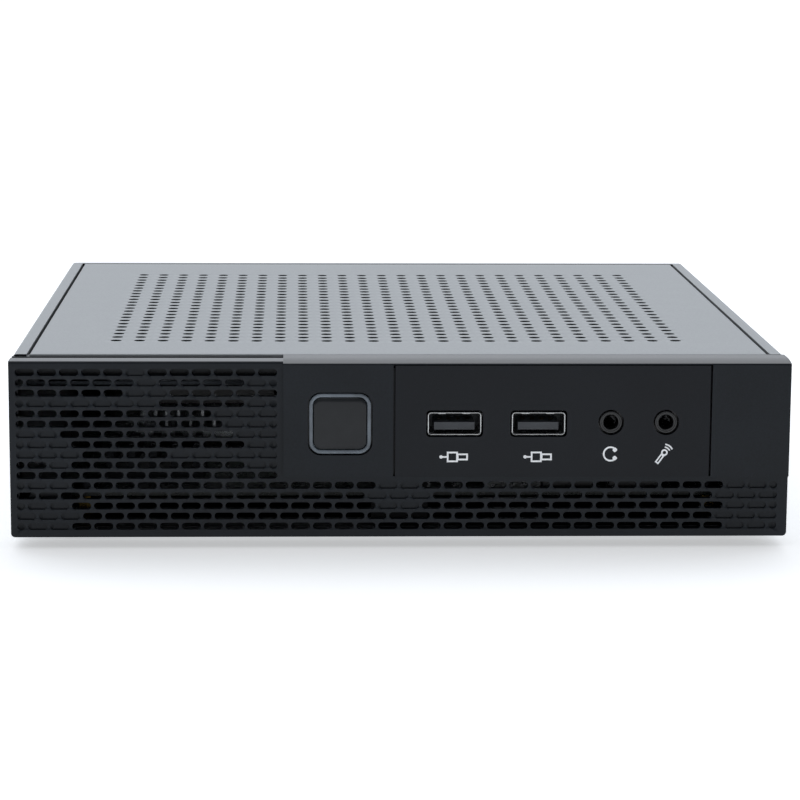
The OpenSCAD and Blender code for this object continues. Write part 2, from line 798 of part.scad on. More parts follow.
module coin_cell() { color("silver") in_case() post([-4, 48], [board_top + 1, board_top + 4.2], 10); }

// ---- Storage ----

drive_x = [14, 83.85];
drive_y = [30, 130];
shelf_z = 33;
drive_z = [shelf_z + sheet_t, shelf_z + sheet_t + 7];
drive_screw_at = [for (x = [drive_x[0] + 4, drive_x[1] - 4]) for (y = [44, 120]) [x, y]];
drive_screw_r = 1.4;
side_in = half_w - sheet_t;

module storage_drive() {
    color("#3a3d41") in_case() difference() {
        plate(drive_z) rounded_at([(drive_x[0] + drive_x[1]) / 2, (drive_y[0] + drive_y[1]) / 2],
            [drive_x[1] - drive_x[0], drive_y[1] - drive_y[0]], 2);
        for (at = drive_screw_at) post(at, [drive_z[0] - thru, drive_z[0] + 3], drive_screw_r);
    }
}

// A shelf under the drive, and a strap across the case, both turned up against the side walls.
module drive_bracket() {
    strap = [28, 42];
    flange_h = 3;
    color("silver") in_case() difference() {
        union() {
            slab([drive_x[0] - 2, side_in], [drive_y[0], drive_y[1]], [shelf_z, shelf_z + sheet_t]);
            slab([-side_in, side_in], strap, [shelf_z, shelf_z + sheet_t]);
            slab([-side_in, -side_in + sheet_t], strap, [shelf_z, shelf_z + flange_h]);
            slab([side_in - sheet_t, side_in], [strap[0], drive_y[1]], [shelf_z, shelf_z + flange_h]);
        }
        for (at = drive_screw_at) post(at, [shelf_z - thru, shelf_z + 2 * thru], drive_screw_r + 0.2);
    }
}

module drive_screws() {
    color("dimgray") in_case() for (at = drive_screw_at) {
        post(at, [shelf_z, drive_z[0] + 2.5], drive_screw_r);
        post(at, [shelf_z - 1, shelf_z], 2.6);
    }
}

// ---- Rear sockets ----

rear_face = case_d - 0.5;
rear_usb_x = [-6, 46];
rear_usb_z = [board_top + 3.4, board_top + 11];
rear_usb_depth = 17;
lan_x = 22;
lan_size = [16, 13.5];
lan_hole = [11.8, 8];
lan_z = board_top + lan_size[1] / 2;
video_x = [-52, -30];
video_z = board_top + 3.4;
power_x = -71;
power_size = [9, 11];
power_z = board_top + 5.8;
rear_jack_x = [58.5, 70];
rear_jack_z = board_top + 5;

module facing_rear(at) { translate([at[0], rear_face, at[1]]) rotate([0, 0, 180]) children(); }

// Three stamped plates, side by side: video and power, network, audio.
module io_shield() {
    gap = 0.4;
    joins = [7, 35];
    join_w = 0.1;
    usb_rise = rear_usb_z[1] - rear_usb_z[0];
    color("silver") in_case() wall([rear_in - 0.6, rear_in]) difference() {
        rect([-81, 81], [4, 29]);
        for (x = joins) rect(span(x, join_w), [4 - thru, 29 + thru]);
        for (x = rear_usb_x)
            rounded_at([x, rear_usb_z[0] + usb_rise / 2],
                       [usb_shell[0] + gap, usb_rise + usb_shell[1] + gap], 1);
        rounded_at([lan_x, lan_z], [lan_size[0] + gap, lan_size[1] + gap], 0.5);
        for (x = video_x) rounded_at([x, video_z], [16.4, 6.4], 0.6);
        rounded_at([power_x, board_top + power_size[1] / 2],
                   [power_size[0] + gap, power_size[1] + gap], 0.5);
        for (x = rear_jack_x) translate([x, rear_jack_z]) circle(r = 4.1, $fn = 48);
    }
}

module rear_usb_shells() {
    color("silver") in_case() for (x = rear_usb_x) for (z = rear_usb_z)
        facing_rear([x, z]) usb_shell_tube(rear_usb_depth);
}

module rear_usb_tongues() {
    color("#1c1c1c") in_case() for (x = rear_usb_x) for (z = rear_usb_z)
        facing_rear([x, z]) mirror([0, 0, 1]) usb_tongue(rear_usb_depth);
}

module network_jack() {
    latch = [5, 2.4];
    color("#b9bcc0") in_case() difference() {
        slab(span(lan_x, lan_size[0]), [rear_face - 21, rear_face], [board_top, board_top + lan_size[1]]);
        slab(span(lan_x, lan_hole[0]), [rear_face - 13, rear_face + thru], span(lan_z, lan_hole[1]));
        slab(span(lan_x, latch[0]), [rear_face - 8, rear_face + thru],
             [lan_z - lan_hole[1] / 2 - latch[1] / 2, lan_z]);
    }
}

module video_shells() {
    shell = [15.6, 5.7];
    metal = 0.35;
    color("silver") in_case() for (x = video_x) facing_rear([x, video_z]) difference() {
        wall([0, 11]) rounded(shell, 0.8);
        wall([-thru, 11 - metal]) rounded([shell[0] - 2 * metal, shell[1] - 2 * metal], 0.5);
    }
}

module video_tongues() {
    color("#1c1c1c") in_case() for (x = video_x) facing_rear([x, video_z]) {
        wall([8, 10.65]) rounded([14.9, 5], 0.5);
        wall([1, 8.2]) square([12, 1.2], center = true);
    }
}

module power_jack() {
    bore_r = 3.1;
    pin_r = 1.2;
    depth = 14;
    color("#18191b") in_case() {
        difference() {
            slab(span(power_x, power_size[0]), [rear_face - depth, rear_face],
                 [board_top, board_top + power_size[1]]);
            rod([power_x, power_z], [rear_face - 11, rear_face + thru], bore_r);
        }
        rod([power_x, power_z], [rear_face - 11.5, rear_face - 1.5], pin_r);
    }
}

module rear_audio_jacks() {
    color("#141414") in_case() for (x = rear_jack_x) difference() {
        union() {
            slab(span(x, 10), [rear_face - 15, rear_face - 1.5], [board_top, board_top + 10]);
            rod([x, rear_jack_z], [rear_face - 2, rear_face], 3.8);
        }
        rod([x, rear_jack_z], [rear_face - 13, rear_face + thru], jack_bore / 2);
    }
}

// ---- Internal cables ----

cable_sides = 8;
cable_rings = 18;
function bezier(p, t) =
    pow(1 - t, 3) * p[0] + 3 * t * pow(1 - t, 2) * p[1] + 3 * t * t * (1 - t) * p[2] + pow(t, 3) * p[3];
function slope(p, t) =
    pow(1 - t, 2) * (p[1] - p[0]) + 2 * t * (1 - t) * (p[2] - p[1]) + t * t * (p[3] - p[2]);
function unit(v) = v / norm(v);

// A round cable along one smooth curve through the four given points; side is never along the cable.
module cable(p, r, side) {
    n = cable_rings;
    m = cable_sides;
    mids = [for (i = [0:n]) bezier(p, i / n)];
    dirs = [for (i = [0:n]) unit(slope(p, i / n))];
    points = [for (i = [0:n]) let (u = unit(cross(dirs[i], side)), v = cross(dirs[i], u))
        for (a = [0:m - 1]) mids[i] + r * (cos(a * 360 / m) * u + sin(a * 360 / m) * v)];
    faces = concat([[for (a = [0:m - 1]) a]],
        [for (i = [0:n - 1]) for (a = [0:m - 1]) let (b = (a + 1) % m)
            [i * m + a, (i + 1) * m + a, (i + 1) * m + b, i * m + b]],
        [[for (a = [m - 1:-1:0]) n * m + a]]);
    polyhedron(points = points, faces = faces);
}

// A socket housing pushed over the pins of a header that starts at x0.
module header_plug(x0) {
    x1 = x0 + 4 * header_pitch;
    outer = [[x0 - 1.8, x1 + 1.8], span(header_y, 6.4), [board_top + header_h, board_top + 12]];
    inner = [[x0 - 0.8, x1 + 0.8], span(header_y, 4.2), [board_top + 2, board_top + 9]];
    difference() {
        slab(outer[0], outer[1], outer[2]);
        slab(inner[0], inner[1], inner[2]);
    }
}

module front_usb_cable() {
    end_x = header_x[0] + 2 * header_pitch;
    end_y = header_y + 3.2;
    color("black") in_case() {
        cable([[40.5, 26, 24.4], [40.5, 44, 24.4], [end_x, 42, 16], [end_x, end_y, 16]], 1.6, [1, 0, 0]);
        header_plug(header_x[0]);
    }
}

module front_audio_cable() {
    end_x = header_x[1] + 2 * header_pitch;
    end_y = header_y + 3.2;
    color("black") in_case() {
        cable([[60, 26, 24.4], [60, 44, 24.4], [end_x, 42, 16], [end_x, end_y, 16]], 1.3, [1, 0, 0]);
        header_plug(header_x[1]);
    }
}

module switch_cable() {
    from_x = -14.4;
    header_end = header_x[0] - 1.8;
    path = [[from_x, switch_board_end, 23], [from_x, 32, 23], [22, header_y, 14], [header_end, header_y, 14]];
    color("black") in_case() cable(path, 1.1, [0, 0, 1]);
}

module fan_cable() {
    fan_front = cpu_at[1] - fan_w / 2;
    color("black") in_case()
        cable([[-30, fan_front, 23.5], [-30, 64, 23.5], [-20, 62, 16], [-20, 62, board_top]], 1, [1, 0, 0]);
}

module drive_cable() {
    color("black") in_case()
        cable([[30, drive_y[1], 37.5], [30, 148, 37.5], [8, 166, 24], [8, 166, board_top]], 1.8, [1, 0, 0]);
}

base_tray();
top_cover();
cover_screws();
rubber_feet();
front_bezel();
bezel_screws();
port_plate();
port_marks();
front_usb_shells();
front_usb_tongues();
front_usb_contacts();
headphone_jack();
microphone_jack();
front_port_board();
port_board_screws();
button_cap();
button_light_ring();
button_carrier();
button_spring();
switch_bracket();
switch_body();
switch_plunger();
switch_board();
indicator_led();
mainboard();
board_standoffs();
board_screws();
cpu_socket();
cpu_package();
cooler_heatsink();
cooler_screws();
fan_frame();
fan_rotor();
fan_screws();
chipset_heatsink();
board_chokes();
board_capacitors();
pin_headers();
header_pins();
memory_sockets();
memory_modules();
wireless_card();
coin_cell_holder();
coin_cell();
storage_drive();
drive_bracket();
drive_screws();
io_shield();
rear_usb_shells();
rear_usb_tongues();
network_jack();
video_shells();
video_tongues();
power_jack();
rear_audio_jacks();
front_usb_cable();
front_audio_cable();
switch_cable();
fan_cable();
drive_cable();
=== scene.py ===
"""Looks of a compact desktop computer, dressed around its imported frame.

Every class below is one sub-assembly of the machine: it holds its sizes in millimetres, builds the pieces
that stand for plain solids, and dresses the nodes that stay. Case measures run X from the middle, Y back
from the grille's face and Z up from the case's underside; CaseFrame turns them into metres in the row frame.
"""

import logging
import math
from dataclasses import dataclass
from enum import Enum
from typing import Callable, ClassVar, Iterable, Optional, Sequence

import bmesh
import bpy
from mathutils import Matrix, Vector


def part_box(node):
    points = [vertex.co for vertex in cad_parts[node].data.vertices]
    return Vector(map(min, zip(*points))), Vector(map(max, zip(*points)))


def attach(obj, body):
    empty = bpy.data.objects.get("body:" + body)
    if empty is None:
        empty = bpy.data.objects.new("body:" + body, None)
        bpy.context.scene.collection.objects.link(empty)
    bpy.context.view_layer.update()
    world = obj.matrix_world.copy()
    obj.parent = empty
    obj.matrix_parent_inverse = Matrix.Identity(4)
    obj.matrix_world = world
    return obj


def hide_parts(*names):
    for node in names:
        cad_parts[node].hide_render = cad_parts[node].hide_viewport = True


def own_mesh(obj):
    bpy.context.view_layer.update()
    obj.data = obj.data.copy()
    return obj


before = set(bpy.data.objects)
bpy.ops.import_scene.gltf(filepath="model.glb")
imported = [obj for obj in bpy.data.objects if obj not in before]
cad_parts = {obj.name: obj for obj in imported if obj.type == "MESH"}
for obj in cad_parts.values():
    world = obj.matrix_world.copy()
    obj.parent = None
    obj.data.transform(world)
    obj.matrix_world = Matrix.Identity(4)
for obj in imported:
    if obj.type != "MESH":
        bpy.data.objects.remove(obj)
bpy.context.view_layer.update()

MM = 0.001
TAU = 2 * math.pi
LOG = logging.getLogger("desktop")
Pair = tuple[float, float]
Point = tuple[float, float, float]
Ring = tuple[list[Pair], float]
Tree = bpy.types.NodeTree
Socket = bpy.types.NodeSocket


# ---- Colours and nodes ----


def linear(hex_colour: str) -> tuple[float, float, float, float]:
    """Turns an sRGB hex colour into linear RGBA.

    Args:
        hex_colour: six hex digits after a #.

    Returns:
        The linear colour, with alpha 1.
    """
    srgb = [int(hex_colour[i : i + 2], 16) / 255 for i in (1, 3, 5)]
    return tuple(c / 12.92 if c <= 0.04045 else ((c + 0.055) / 1.055) ** 2.4 for c in srgb) + (1.0,)


def add_node(
    tree: Tree, kind: str, settings: Optional[dict] = None, links: Optional[dict] = None
) -> bpy.types.Node:
    """Adds a shader node with its settings and links.

    Args:
        tree: the node tree to add to.
        kind: the node's type, such as ShaderNodeTexNoise.
        settings: attributes of the node, values of its inputs by name or number, or a colour ramp's
            "stops", as pairs of place and hex colour.
        links: output sockets to join to its inputs, by name or number.

    Returns:
        The new node.
    """
    made = tree.nodes.new(kind)
    for key, value in (settings or {}).items():
        if key == "stops":
            for element, (place, colour) in zip(made.color_ramp.elements, value):
                element.position = place
                element.color = linear(colour)
        elif isinstance(key, str) and hasattr(made, key):
            setattr(made, key, value)
        else:
            made.inputs[key].default_value = value
    for key, socket in (links or {}).items():
        tree.links.new(socket, made.inputs[key])
    return made


# ---- Case measures ----


@dataclass(frozen=True)
class CaseFrame:
    """Turns case millimetres into metres in the row frame."""

    front: float
    base: float

    @classmethod
    def from_nodes(cls) -> "CaseFrame":
        """Reads where the case stands from its kept nodes."""
        block_proud = 1.0
        plate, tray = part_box("port_plate")[0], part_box("base_tray")[0]
        return cls(plate.y / MM + block_proud, tray.z / MM)

    def __call__(self, point: Sequence[float]) -> Vector:
        """Returns the point in metres in the row frame."""
        x, y, z = point
        return Vector((x, self.front + y, self.base + z)) * MM


CASE = CaseFrame.from_nodes()
COVER_EDGE = 11.5  # Y where the rolled front edge of the cover ends and its flat sheet begins
RAIL_FOOT = 42.0  # Z under the tray's in-turned rails


# ---- Finishes ----


def blotches(size_mm: float, detail: float) -> dict[str, float]:
    """Returns the settings of a noise whose blotches are about size_mm wide."""
    return {"Scale": 1 / (size_mm * MM), "Detail": detail, "Roughness": 0.55}


@dataclass(frozen=True)
class Finish:
    """A real material and the way its surface was made: a fine pattern, with wider clouds over it."""

    name: str
    low: str = "#17181a"
    high: str = "#1e1f22"
    rough: Pair = (0.25, 0.35)
    depth_mm: float = 0.01
    specular: float = 0.5
    metallic: float = 0.0
    grain_mm: float = 1.0
    grain_detail: ClassVar[float] = 3.0
    cloud: ClassVar[Optional[Pair]] = None  # the clouds' size in millimetres and detail
    cloud_share: ClassVar[float] = 0.5
    cloud_gloss: ClassVar[bool] = False  # whether gloss follows the clouds instead of the fine pattern
    stops: ClassVar[Pair] = (0.3, 0.7)  # where the low and high colours stand on the mixed pattern
    coloured: ClassVar[tuple[str, ...]] = ("Base Color",)
    made: ClassVar[dict[str, bpy.types.Material]] = {}

    def material(self) -> bpy.types.Material:
        """Returns the material, built the first time it is asked for."""
        if self.name not in Finish.made:
            material = bpy.data.materials.new(self.name)
            material.use_nodes = True
            material.node_tree.nodes.clear()
            self.dress(material.node_tree)
            Finish.made[self.name] = material
        return Finish.made[self.name]

    def dress(self, tree: Tree) -> None:
        """Adds the patterns, and the shader that they feed."""
        where = add_node(tree, "ShaderNodeTexCoord").outputs["Object"]
        fine = tone = gloss = self.fine(tree, where)
        if self.cloud:
            wide = add_node(tree, "ShaderNodeTexNoise", blotches(*self.cloud), {"Vector": where})
            cloud = wide.outputs["Fac"]
            share = {"data_type": "FLOAT", "Factor": self.cloud_share}
            tone = add_node(tree, "ShaderNodeMix", share, {2: fine, 3: cloud}).outputs[0]
            gloss = cloud if self.cloud_gloss else fine
        stops = list(zip(self.stops, (self.low, self.high)))
        colour = add_node(tree, "ShaderNodeValToRGB", {"stops": stops}, {"Fac": tone}).outputs["Color"]
        links = dict.fromkeys(self.coloured, self.with_painted_shade(tree, colour))
        span = {"To Min": self.rough[0], "To Max": self.rough[1]}
        links["Roughness"] = add_node(tree, "ShaderNodeMapRange", span, {"Value": gloss}).outputs["Result"]
        if self.depth_mm:
            depth = {"Distance": self.depth_mm * MM, "Strength": 1.0}
            links["Normal"] = add_node(tree, "ShaderNodeBump", depth, {"Height": fine}).outputs["Normal"]
        shader = add_node(tree, "ShaderNodeBsdfPrincipled", self.constants(), links)
        out = add_node(tree, "ShaderNodeOutputMaterial", links={"Surface": shader.outputs["BSDF"]})
        out.is_active_output = True

    def fine(self, tree: Tree, where: Socket) -> Socket:
        """Adds the fine pattern.

        Args:
            tree: the material's node tree.
            where: object coordinates, in metres.

        Returns:
            The pattern, 0 to 1.
        """
        settings = blotches(self.grain_mm, self.grain_detail)
        return add_node(tree, "ShaderNodeTexNoise", settings, {"Vector": where}).outputs["Fac"]

    def constants(self) -> dict[str, float]:
        """Returns the shader values that are the same all over the surface."""
        return {"Metallic": self.metallic, "Specular IOR Level": self.specular}

    def with_painted_shade(self, tree: Tree, colour: Socket) -> Socket:
        """Returns the colour, with any painted shade over it."""
        return colour


class PaintedShadePlace(Enum):
    """Which faces of the powder coat get near-black painted shade."""

    NOWHERE = "nowhere"
    HOLE_WALLS = "hole walls"
    TRAY_INSIDE = "tray inside"


@dataclass(frozen=True)
class PowderCoat(Finish):
    """Powder-coated sheet steel: fine orange peel and a metal flake, so it is satin and slightly mottled."""

    low: str = "#828588"
    high: str = "#9a9d9f"
    rough: Pair = (0.46, 0.56)
    depth_mm: float = 0.012
    metallic: float = 0.55
    grain_mm: float = 0.55  # width of one bump of the peel, drawn twice as coarse as real so that it shows
    cloud = (9.0, 4.0)
    cloud_share = 0.4
    cloud_gloss = True
    stops = (0.2, 0.8)
    # the faces that get painted shade, and its near-black colour, which stands in for the shade in them
    painted_shade: PaintedShadePlace = PaintedShadePlace.NOWHERE
    painted_shade_colour: str = "#090a0b"

    def with_painted_shade(self, tree: Tree, colour: Socket) -> Socket:
        """Paints near-black shade over the colour on the chosen faces."""
        if self.painted_shade is PaintedShadePlace.NOWHERE:
            return colour
        painted_shade_colour = {"data_type": "RGBA", 7: linear(self.painted_shade_colour)}
        return add_node(tree, "ShaderNodeMix", painted_shade_colour, {0: self.painted_shade_mask(tree), 6: colour}).outputs[2]

    def painted_shade_mask(self, tree: Tree) -> Socket:
        """Returns 1 on the faces that get painted shade and 0 elsewhere."""
        spot = add_node(tree, "ShaderNodeNewGeometry")
        turn, at = (
            add_node(tree, "ShaderNodeSeparateXYZ", links={"Vector": spot.outputs[way]}).outputs
            for way in ("Normal", "Position")
        )
        # painted shade in the cover's holes: their steep walls, behind its rolled front edge
        if self.painted_shade is PaintedShadePlace.HOLE_WALLS:
            steep = {"From Min": 0.95, "From Max": 0.7}
            walls = add_node(tree, "ShaderNodeMapRange", steep, {"Value": turn["Z"]})
            behind = {"operation": "GREATER_THAN", 1: (CASE.front + COVER_EDGE) * MM}
            sheet = add_node(tree, "ShaderNodeMath", behind, {0: at["Y"]})
            links = {0: walls.outputs["Result"], 1: sheet.outputs["Value"]}
            return add_node(tree, "ShaderNodeMath", {"operation": "MULTIPLY"}, links).outputs["Value"]
        # painted shade inside the tray: walls that face the front, and the floor under the rails
        tests = (
            (turn["Y"], "LESS_THAN", -0.6),  # walls that face the front
            (turn["Z"], "GREATER_THAN", 0.6),  # the floor, which faces up
            (at["Z"], "LESS_THAN", (CASE.base + RAIL_FOOT) * MM),  # and lies under the rails
        )
        to_front, upward, low = (
            add_node(tree, "ShaderNodeMath", {"operation": test, 1: limit}, {0: value}).outputs["Value"]
            for value, test, limit in tests
        )
        floor = add_node(tree, "ShaderNodeMath", {"operation": "MULTIPLY"}, {0: low, 1: upward})
        links = {0: to_front, 1: floor.outputs["Value"]}
        return add_node(tree, "ShaderNodeMath", {"operation": "MAXIMUM"}, links).outputs["Value"]


@dataclass(frozen=True)
class SparkedPlastic(Finish):
    """Plastic moulded in a spark-eroded tool: a fine dull grain that greys only at a grazing angle."""

    low: str = "#12161b"
    high: str = "#191e24"
    rough: Pair = (0.26, 0.34)
    depth_mm: float = 0.012
    specular: float = 0.2
    grain_mm: float = 0.4  # real grain is about 0.1, which is too fine to show
    cloud = (25.0, 2.0)
    stops = (0.35, 0.65)


@dataclass(frozen=True)
class MouldedPlastic(Finish):
    """Injection-moulded plastic from a polished tool: even colour, faint flow marks, soft gloss."""

    grain_mm: float = 4.0  # width of one flow mark


@dataclass(frozen=True)
class Metal(Finish):
    """Bare or plated metal: fine rolling or drawing lines stretch its sheen, under clouds of tarnish."""

    low: str = "#b4b4b2"
    high: str = "#d2d2cf"
    rough: Pair = (0.2, 0.38)
    depth_mm: float = 0.004
    metallic: float = 1.0
    line_mm: Point = (0.25, 4.0, 0.25)  # width of a line along X, Y and Z, coarser than real so that it shows
    cloud = (3.0, 3.0)

    def fine(self, tree: Tree, where: Socket) -> Socket:
        """Adds the lines, as noise stretched along them."""
        stretch = {"vector_type": "POINT", "Scale": Vector([1 / (width * MM) for width in self.line_mm])}
        along = add_node(tree, "ShaderNodeMapping", stretch, {"Vector": where}).outputs["Vector"]
        settings = {"Scale": 1.0, "Detail": self.grain_detail}
        return add_node(tree, "ShaderNodeTexNoise", settings, {"Vector": along}).outputs["Fac"]


@dataclass(frozen=True)
class SolderMask(Finish):
    """Glass laminate under a liquid solder mask: copper tracks show as paler lines under the glossy green."""

    low: str = "#07140d"
    high: str = "#10281a"
    rough: Pair = (0.22, 0.34)
    depth_mm: float = 0.03
    track_mm: float = 1.2
    cloud = (2.5, 2.0)
    cloud_share = 0.35
    cloud_gloss = True
    stops = (0.1, 0.6)

    def fine(self, tree: Tree, where: Socket) -> Socket:
        """Adds the tracks, as a brick pattern whose rows are one track wide."""
        rows = {"Row Height": 0.25, "Brick Width": 1.7, "Mortar Size": 0.03}
        rows["Scale"] = rows["Row Height"] / (self.track_mm * MM)
        return add_node(tree, "ShaderNodeTexBrick", rows, {"Vector": where}).outputs["Fac"]


@dataclass(frozen=True)
class LightTable(Finish):
    """Matt white acrylic lit from underneath, which keeps the ground pale and the shadows faint."""

    low: str = "#f3f4f5"
    high: str = "#f7f8f9"
    rough: Pair = (0.85, 0.95)
    depth_mm: float = 0.0
    specular: float = 0.1
    grain_mm: float = 400.0
    grain_detail = 1.0
    coloured = ("Base Color", "Emission Color")
    glow: float = 0.5

    def constants(self) -> dict[str, float]:
        """Adds the lamp under the sheet."""
        return super().constants() | {"Emission Strength": self.glow}


# Painted shade: the cover's hole walls and the tray's inside are painted near black beside the satin silver,
# standing in for the shade in them.
COVER_COAT = PowderCoat("powder_coated_perforated_steel_with_painted_shade", painted_shade=PaintedShadePlace.HOLE_WALLS)
TRAY_COAT = PowderCoat("powder_coated_folded_steel_with_painted_shade", painted_shade=PaintedShadePlace.TRAY_INSIDE)
# Painted shade: the front USB contacts are gold painted dark brown for the shade inside their sockets; it
# glints only at its edges.
SHADED_GOLD = Metal("gold_on_bronze_with_painted_shade", "#2c2417", "#43371f", (0.3, 0.45))
# Black over metal keeps a soft dark sheen.
BLACK_ANODISED = Metal("black_anodised_aluminium", "#1c1d1f", "#292b2d", (0.35, 0.5))
BLACK_ZINC = Metal("black_zinc_plated_steel", "#1d1e20", "#34363a", (0.3, 0.5))

SLOT_FINISH: dict[str, Finish] = {
    # The case: satin silver against black that greys only at its top edges.
    "silver_coated_steel": PowderCoat("powder_coated_steel"),
    "black_textured_plastic": SparkedPlastic("spark_textured_abs"),
    # A finer grain makes the port plate a little blacker than the grille.
    "port_plate_plastic": SparkedPlastic(
        "fine_textured_abs", "#0c0f15", "#11151b", (0.26, 0.32), grain_mm=0.25
    ),
    # Raised ink is matt and the whitest thing on the front.
    "white_print": SparkedPlastic("pad_printed_white_ink", "#f1f4f8", "#fdfeff", (0.5, 0.65), 0.004),
    # Soft rubber is dull and takes no highlight.
    "black_rubber": SparkedPlastic("moulded_black_rubber", "#101112", "#191a1b", (0.6, 0.8)),
    # The button: a dark glossy cap inside a pale cloudy ring.
    "smoked_acrylic": MouldedPlastic(
        "moulded_smoked_acrylic", "#17191c", "#1d1f22", (0.16, 0.24), specular=0.28
    ),
    "grey_light_guide": MouldedPlastic(
        "moulded_translucent_polycarbonate", "#565d64", "#6f7881", (0.25, 0.36)
    ),
    "led_lens": MouldedPlastic("cast_epoxy_lens", "#dfe4ea", "#f2f5f8", (0.08, 0.14)),
    # The sockets: bright rims, a grey tongue and black bores.
    "bright_tin_steel": Metal("tin_plated_steel", "#a9aaab", "#d6d7d6"),
    "grey_socket_plastic": MouldedPlastic("moulded_grey_nylon", "#303338", "#3c4045", (0.35, 0.5)),
    "black_socket_plastic": MouldedPlastic("moulded_black_nylon", "#0d0e0f", "#141517", (0.2, 0.3)),
    "gold_contacts": Metal("gold_flashed_bronze", "#b8893a", "#d9ad5b", (0.18, 0.3)),
    # The board: glossy green under parts that catch small lights.
    "green_circuit_board": SolderMask("solder_masked_laminate"),
    "black_moulded_plastic": MouldedPlastic("moulded_black_abs"),
    "ivory_plastic": MouldedPlastic("moulded_ivory_acetal", "#cfc7b2", "#ddd6c4", (0.3, 0.4)),
    "brass_standoff": Metal("turned_brass", "#6a5629", "#8f7840"),
    "nickel_lid": Metal("nickel_plated_copper", "#a8a9a6", "#c4c5c1", line_mm=(3.0, 0.3, 0.3)),
    "component_metal": Metal("drawn_aluminium_can", "#4b4d51", "#67696d"),
    "black_cable": MouldedPlastic("extruded_black_pvc", "#101112", "#1a1b1c", (0.35, 0.5)),
    # Cooler, drive and fixings: long lines from extruding, stamping and drawing.
    "raw_aluminium": Metal("extruded_aluminium", "#a3a6a9", "#c6c9cb", line_mm=(0.3, 6.0, 0.3)),
    "drive_case": Metal("stamped_anodised_aluminium", "#36393d", "#4a4e53", (0.32, 0.48)),
    "spring_steel": Metal("drawn_spring_steel", "#8d8f92", "#b4b6b8"),
    "zinc_screw_steel": Metal("zinc_plated_steel", "#a4a8ac", "#c9cdd0"),
    "black_screw_steel": BLACK_ZINC,
}


def edge_finish(node: bpy.types.Object, edge_mm: float) -> None:
    """Breaks a kept node's sharp edges with modifiers, as its tooling would.

    Args:
        node: the node's object.
        edge_mm: width of the broken edge.
    """
    weld = node.modifiers.new("weld", "WELD")
    weld.merge_threshold = 1e-6
    bevel = node.modifiers.new("edge", "BEVEL")
    bevel.width = edge_mm * MM
    bevel.segments = 2
    bevel.limit_method = "ANGLE"
    bevel.angle_limit = math.radians(35)
    normals = node.modifiers.new("normals", "WEIGHTED_NORMAL")
    normals.weight = 100


# ---- Mesh drafting ----


def rounded_loop(width: float, height: float, radius: float, steps: int = 6) -> list[Pair]:
    """Lays out a rounded rectangle about the origin.

    Args:
        width: its size across.
        height: its size up.
        radius: of its corners.
        steps: faces round each corner.

    Returns:
        Its points, anticlockwise.
    """
    loop = []
    for turn, (side, rise) in enumerate(((1, 1), (-1, 1), (-1, -1), (1, -1))):
        for step in range(steps + 1):
            angle = (turn + step / steps) * TAU / 4
            x = side * (width / 2 - radius) + radius * math.cos(angle)
            loop.append((x, rise * (height / 2 - radius) + radius * math.sin(angle)))
    return loop


def round_loop(radius: float, steps: int = 48, start: float = 0.0) -> list[Pair]:
    """Lays out a circle about the origin, anticlockwise, whose first point is start steps round."""
    turns = [(i + start) * TAU / steps for i in range(steps)]
    return [(radius * math.cos(turn), radius * math.sin(turn)) for turn in turns]


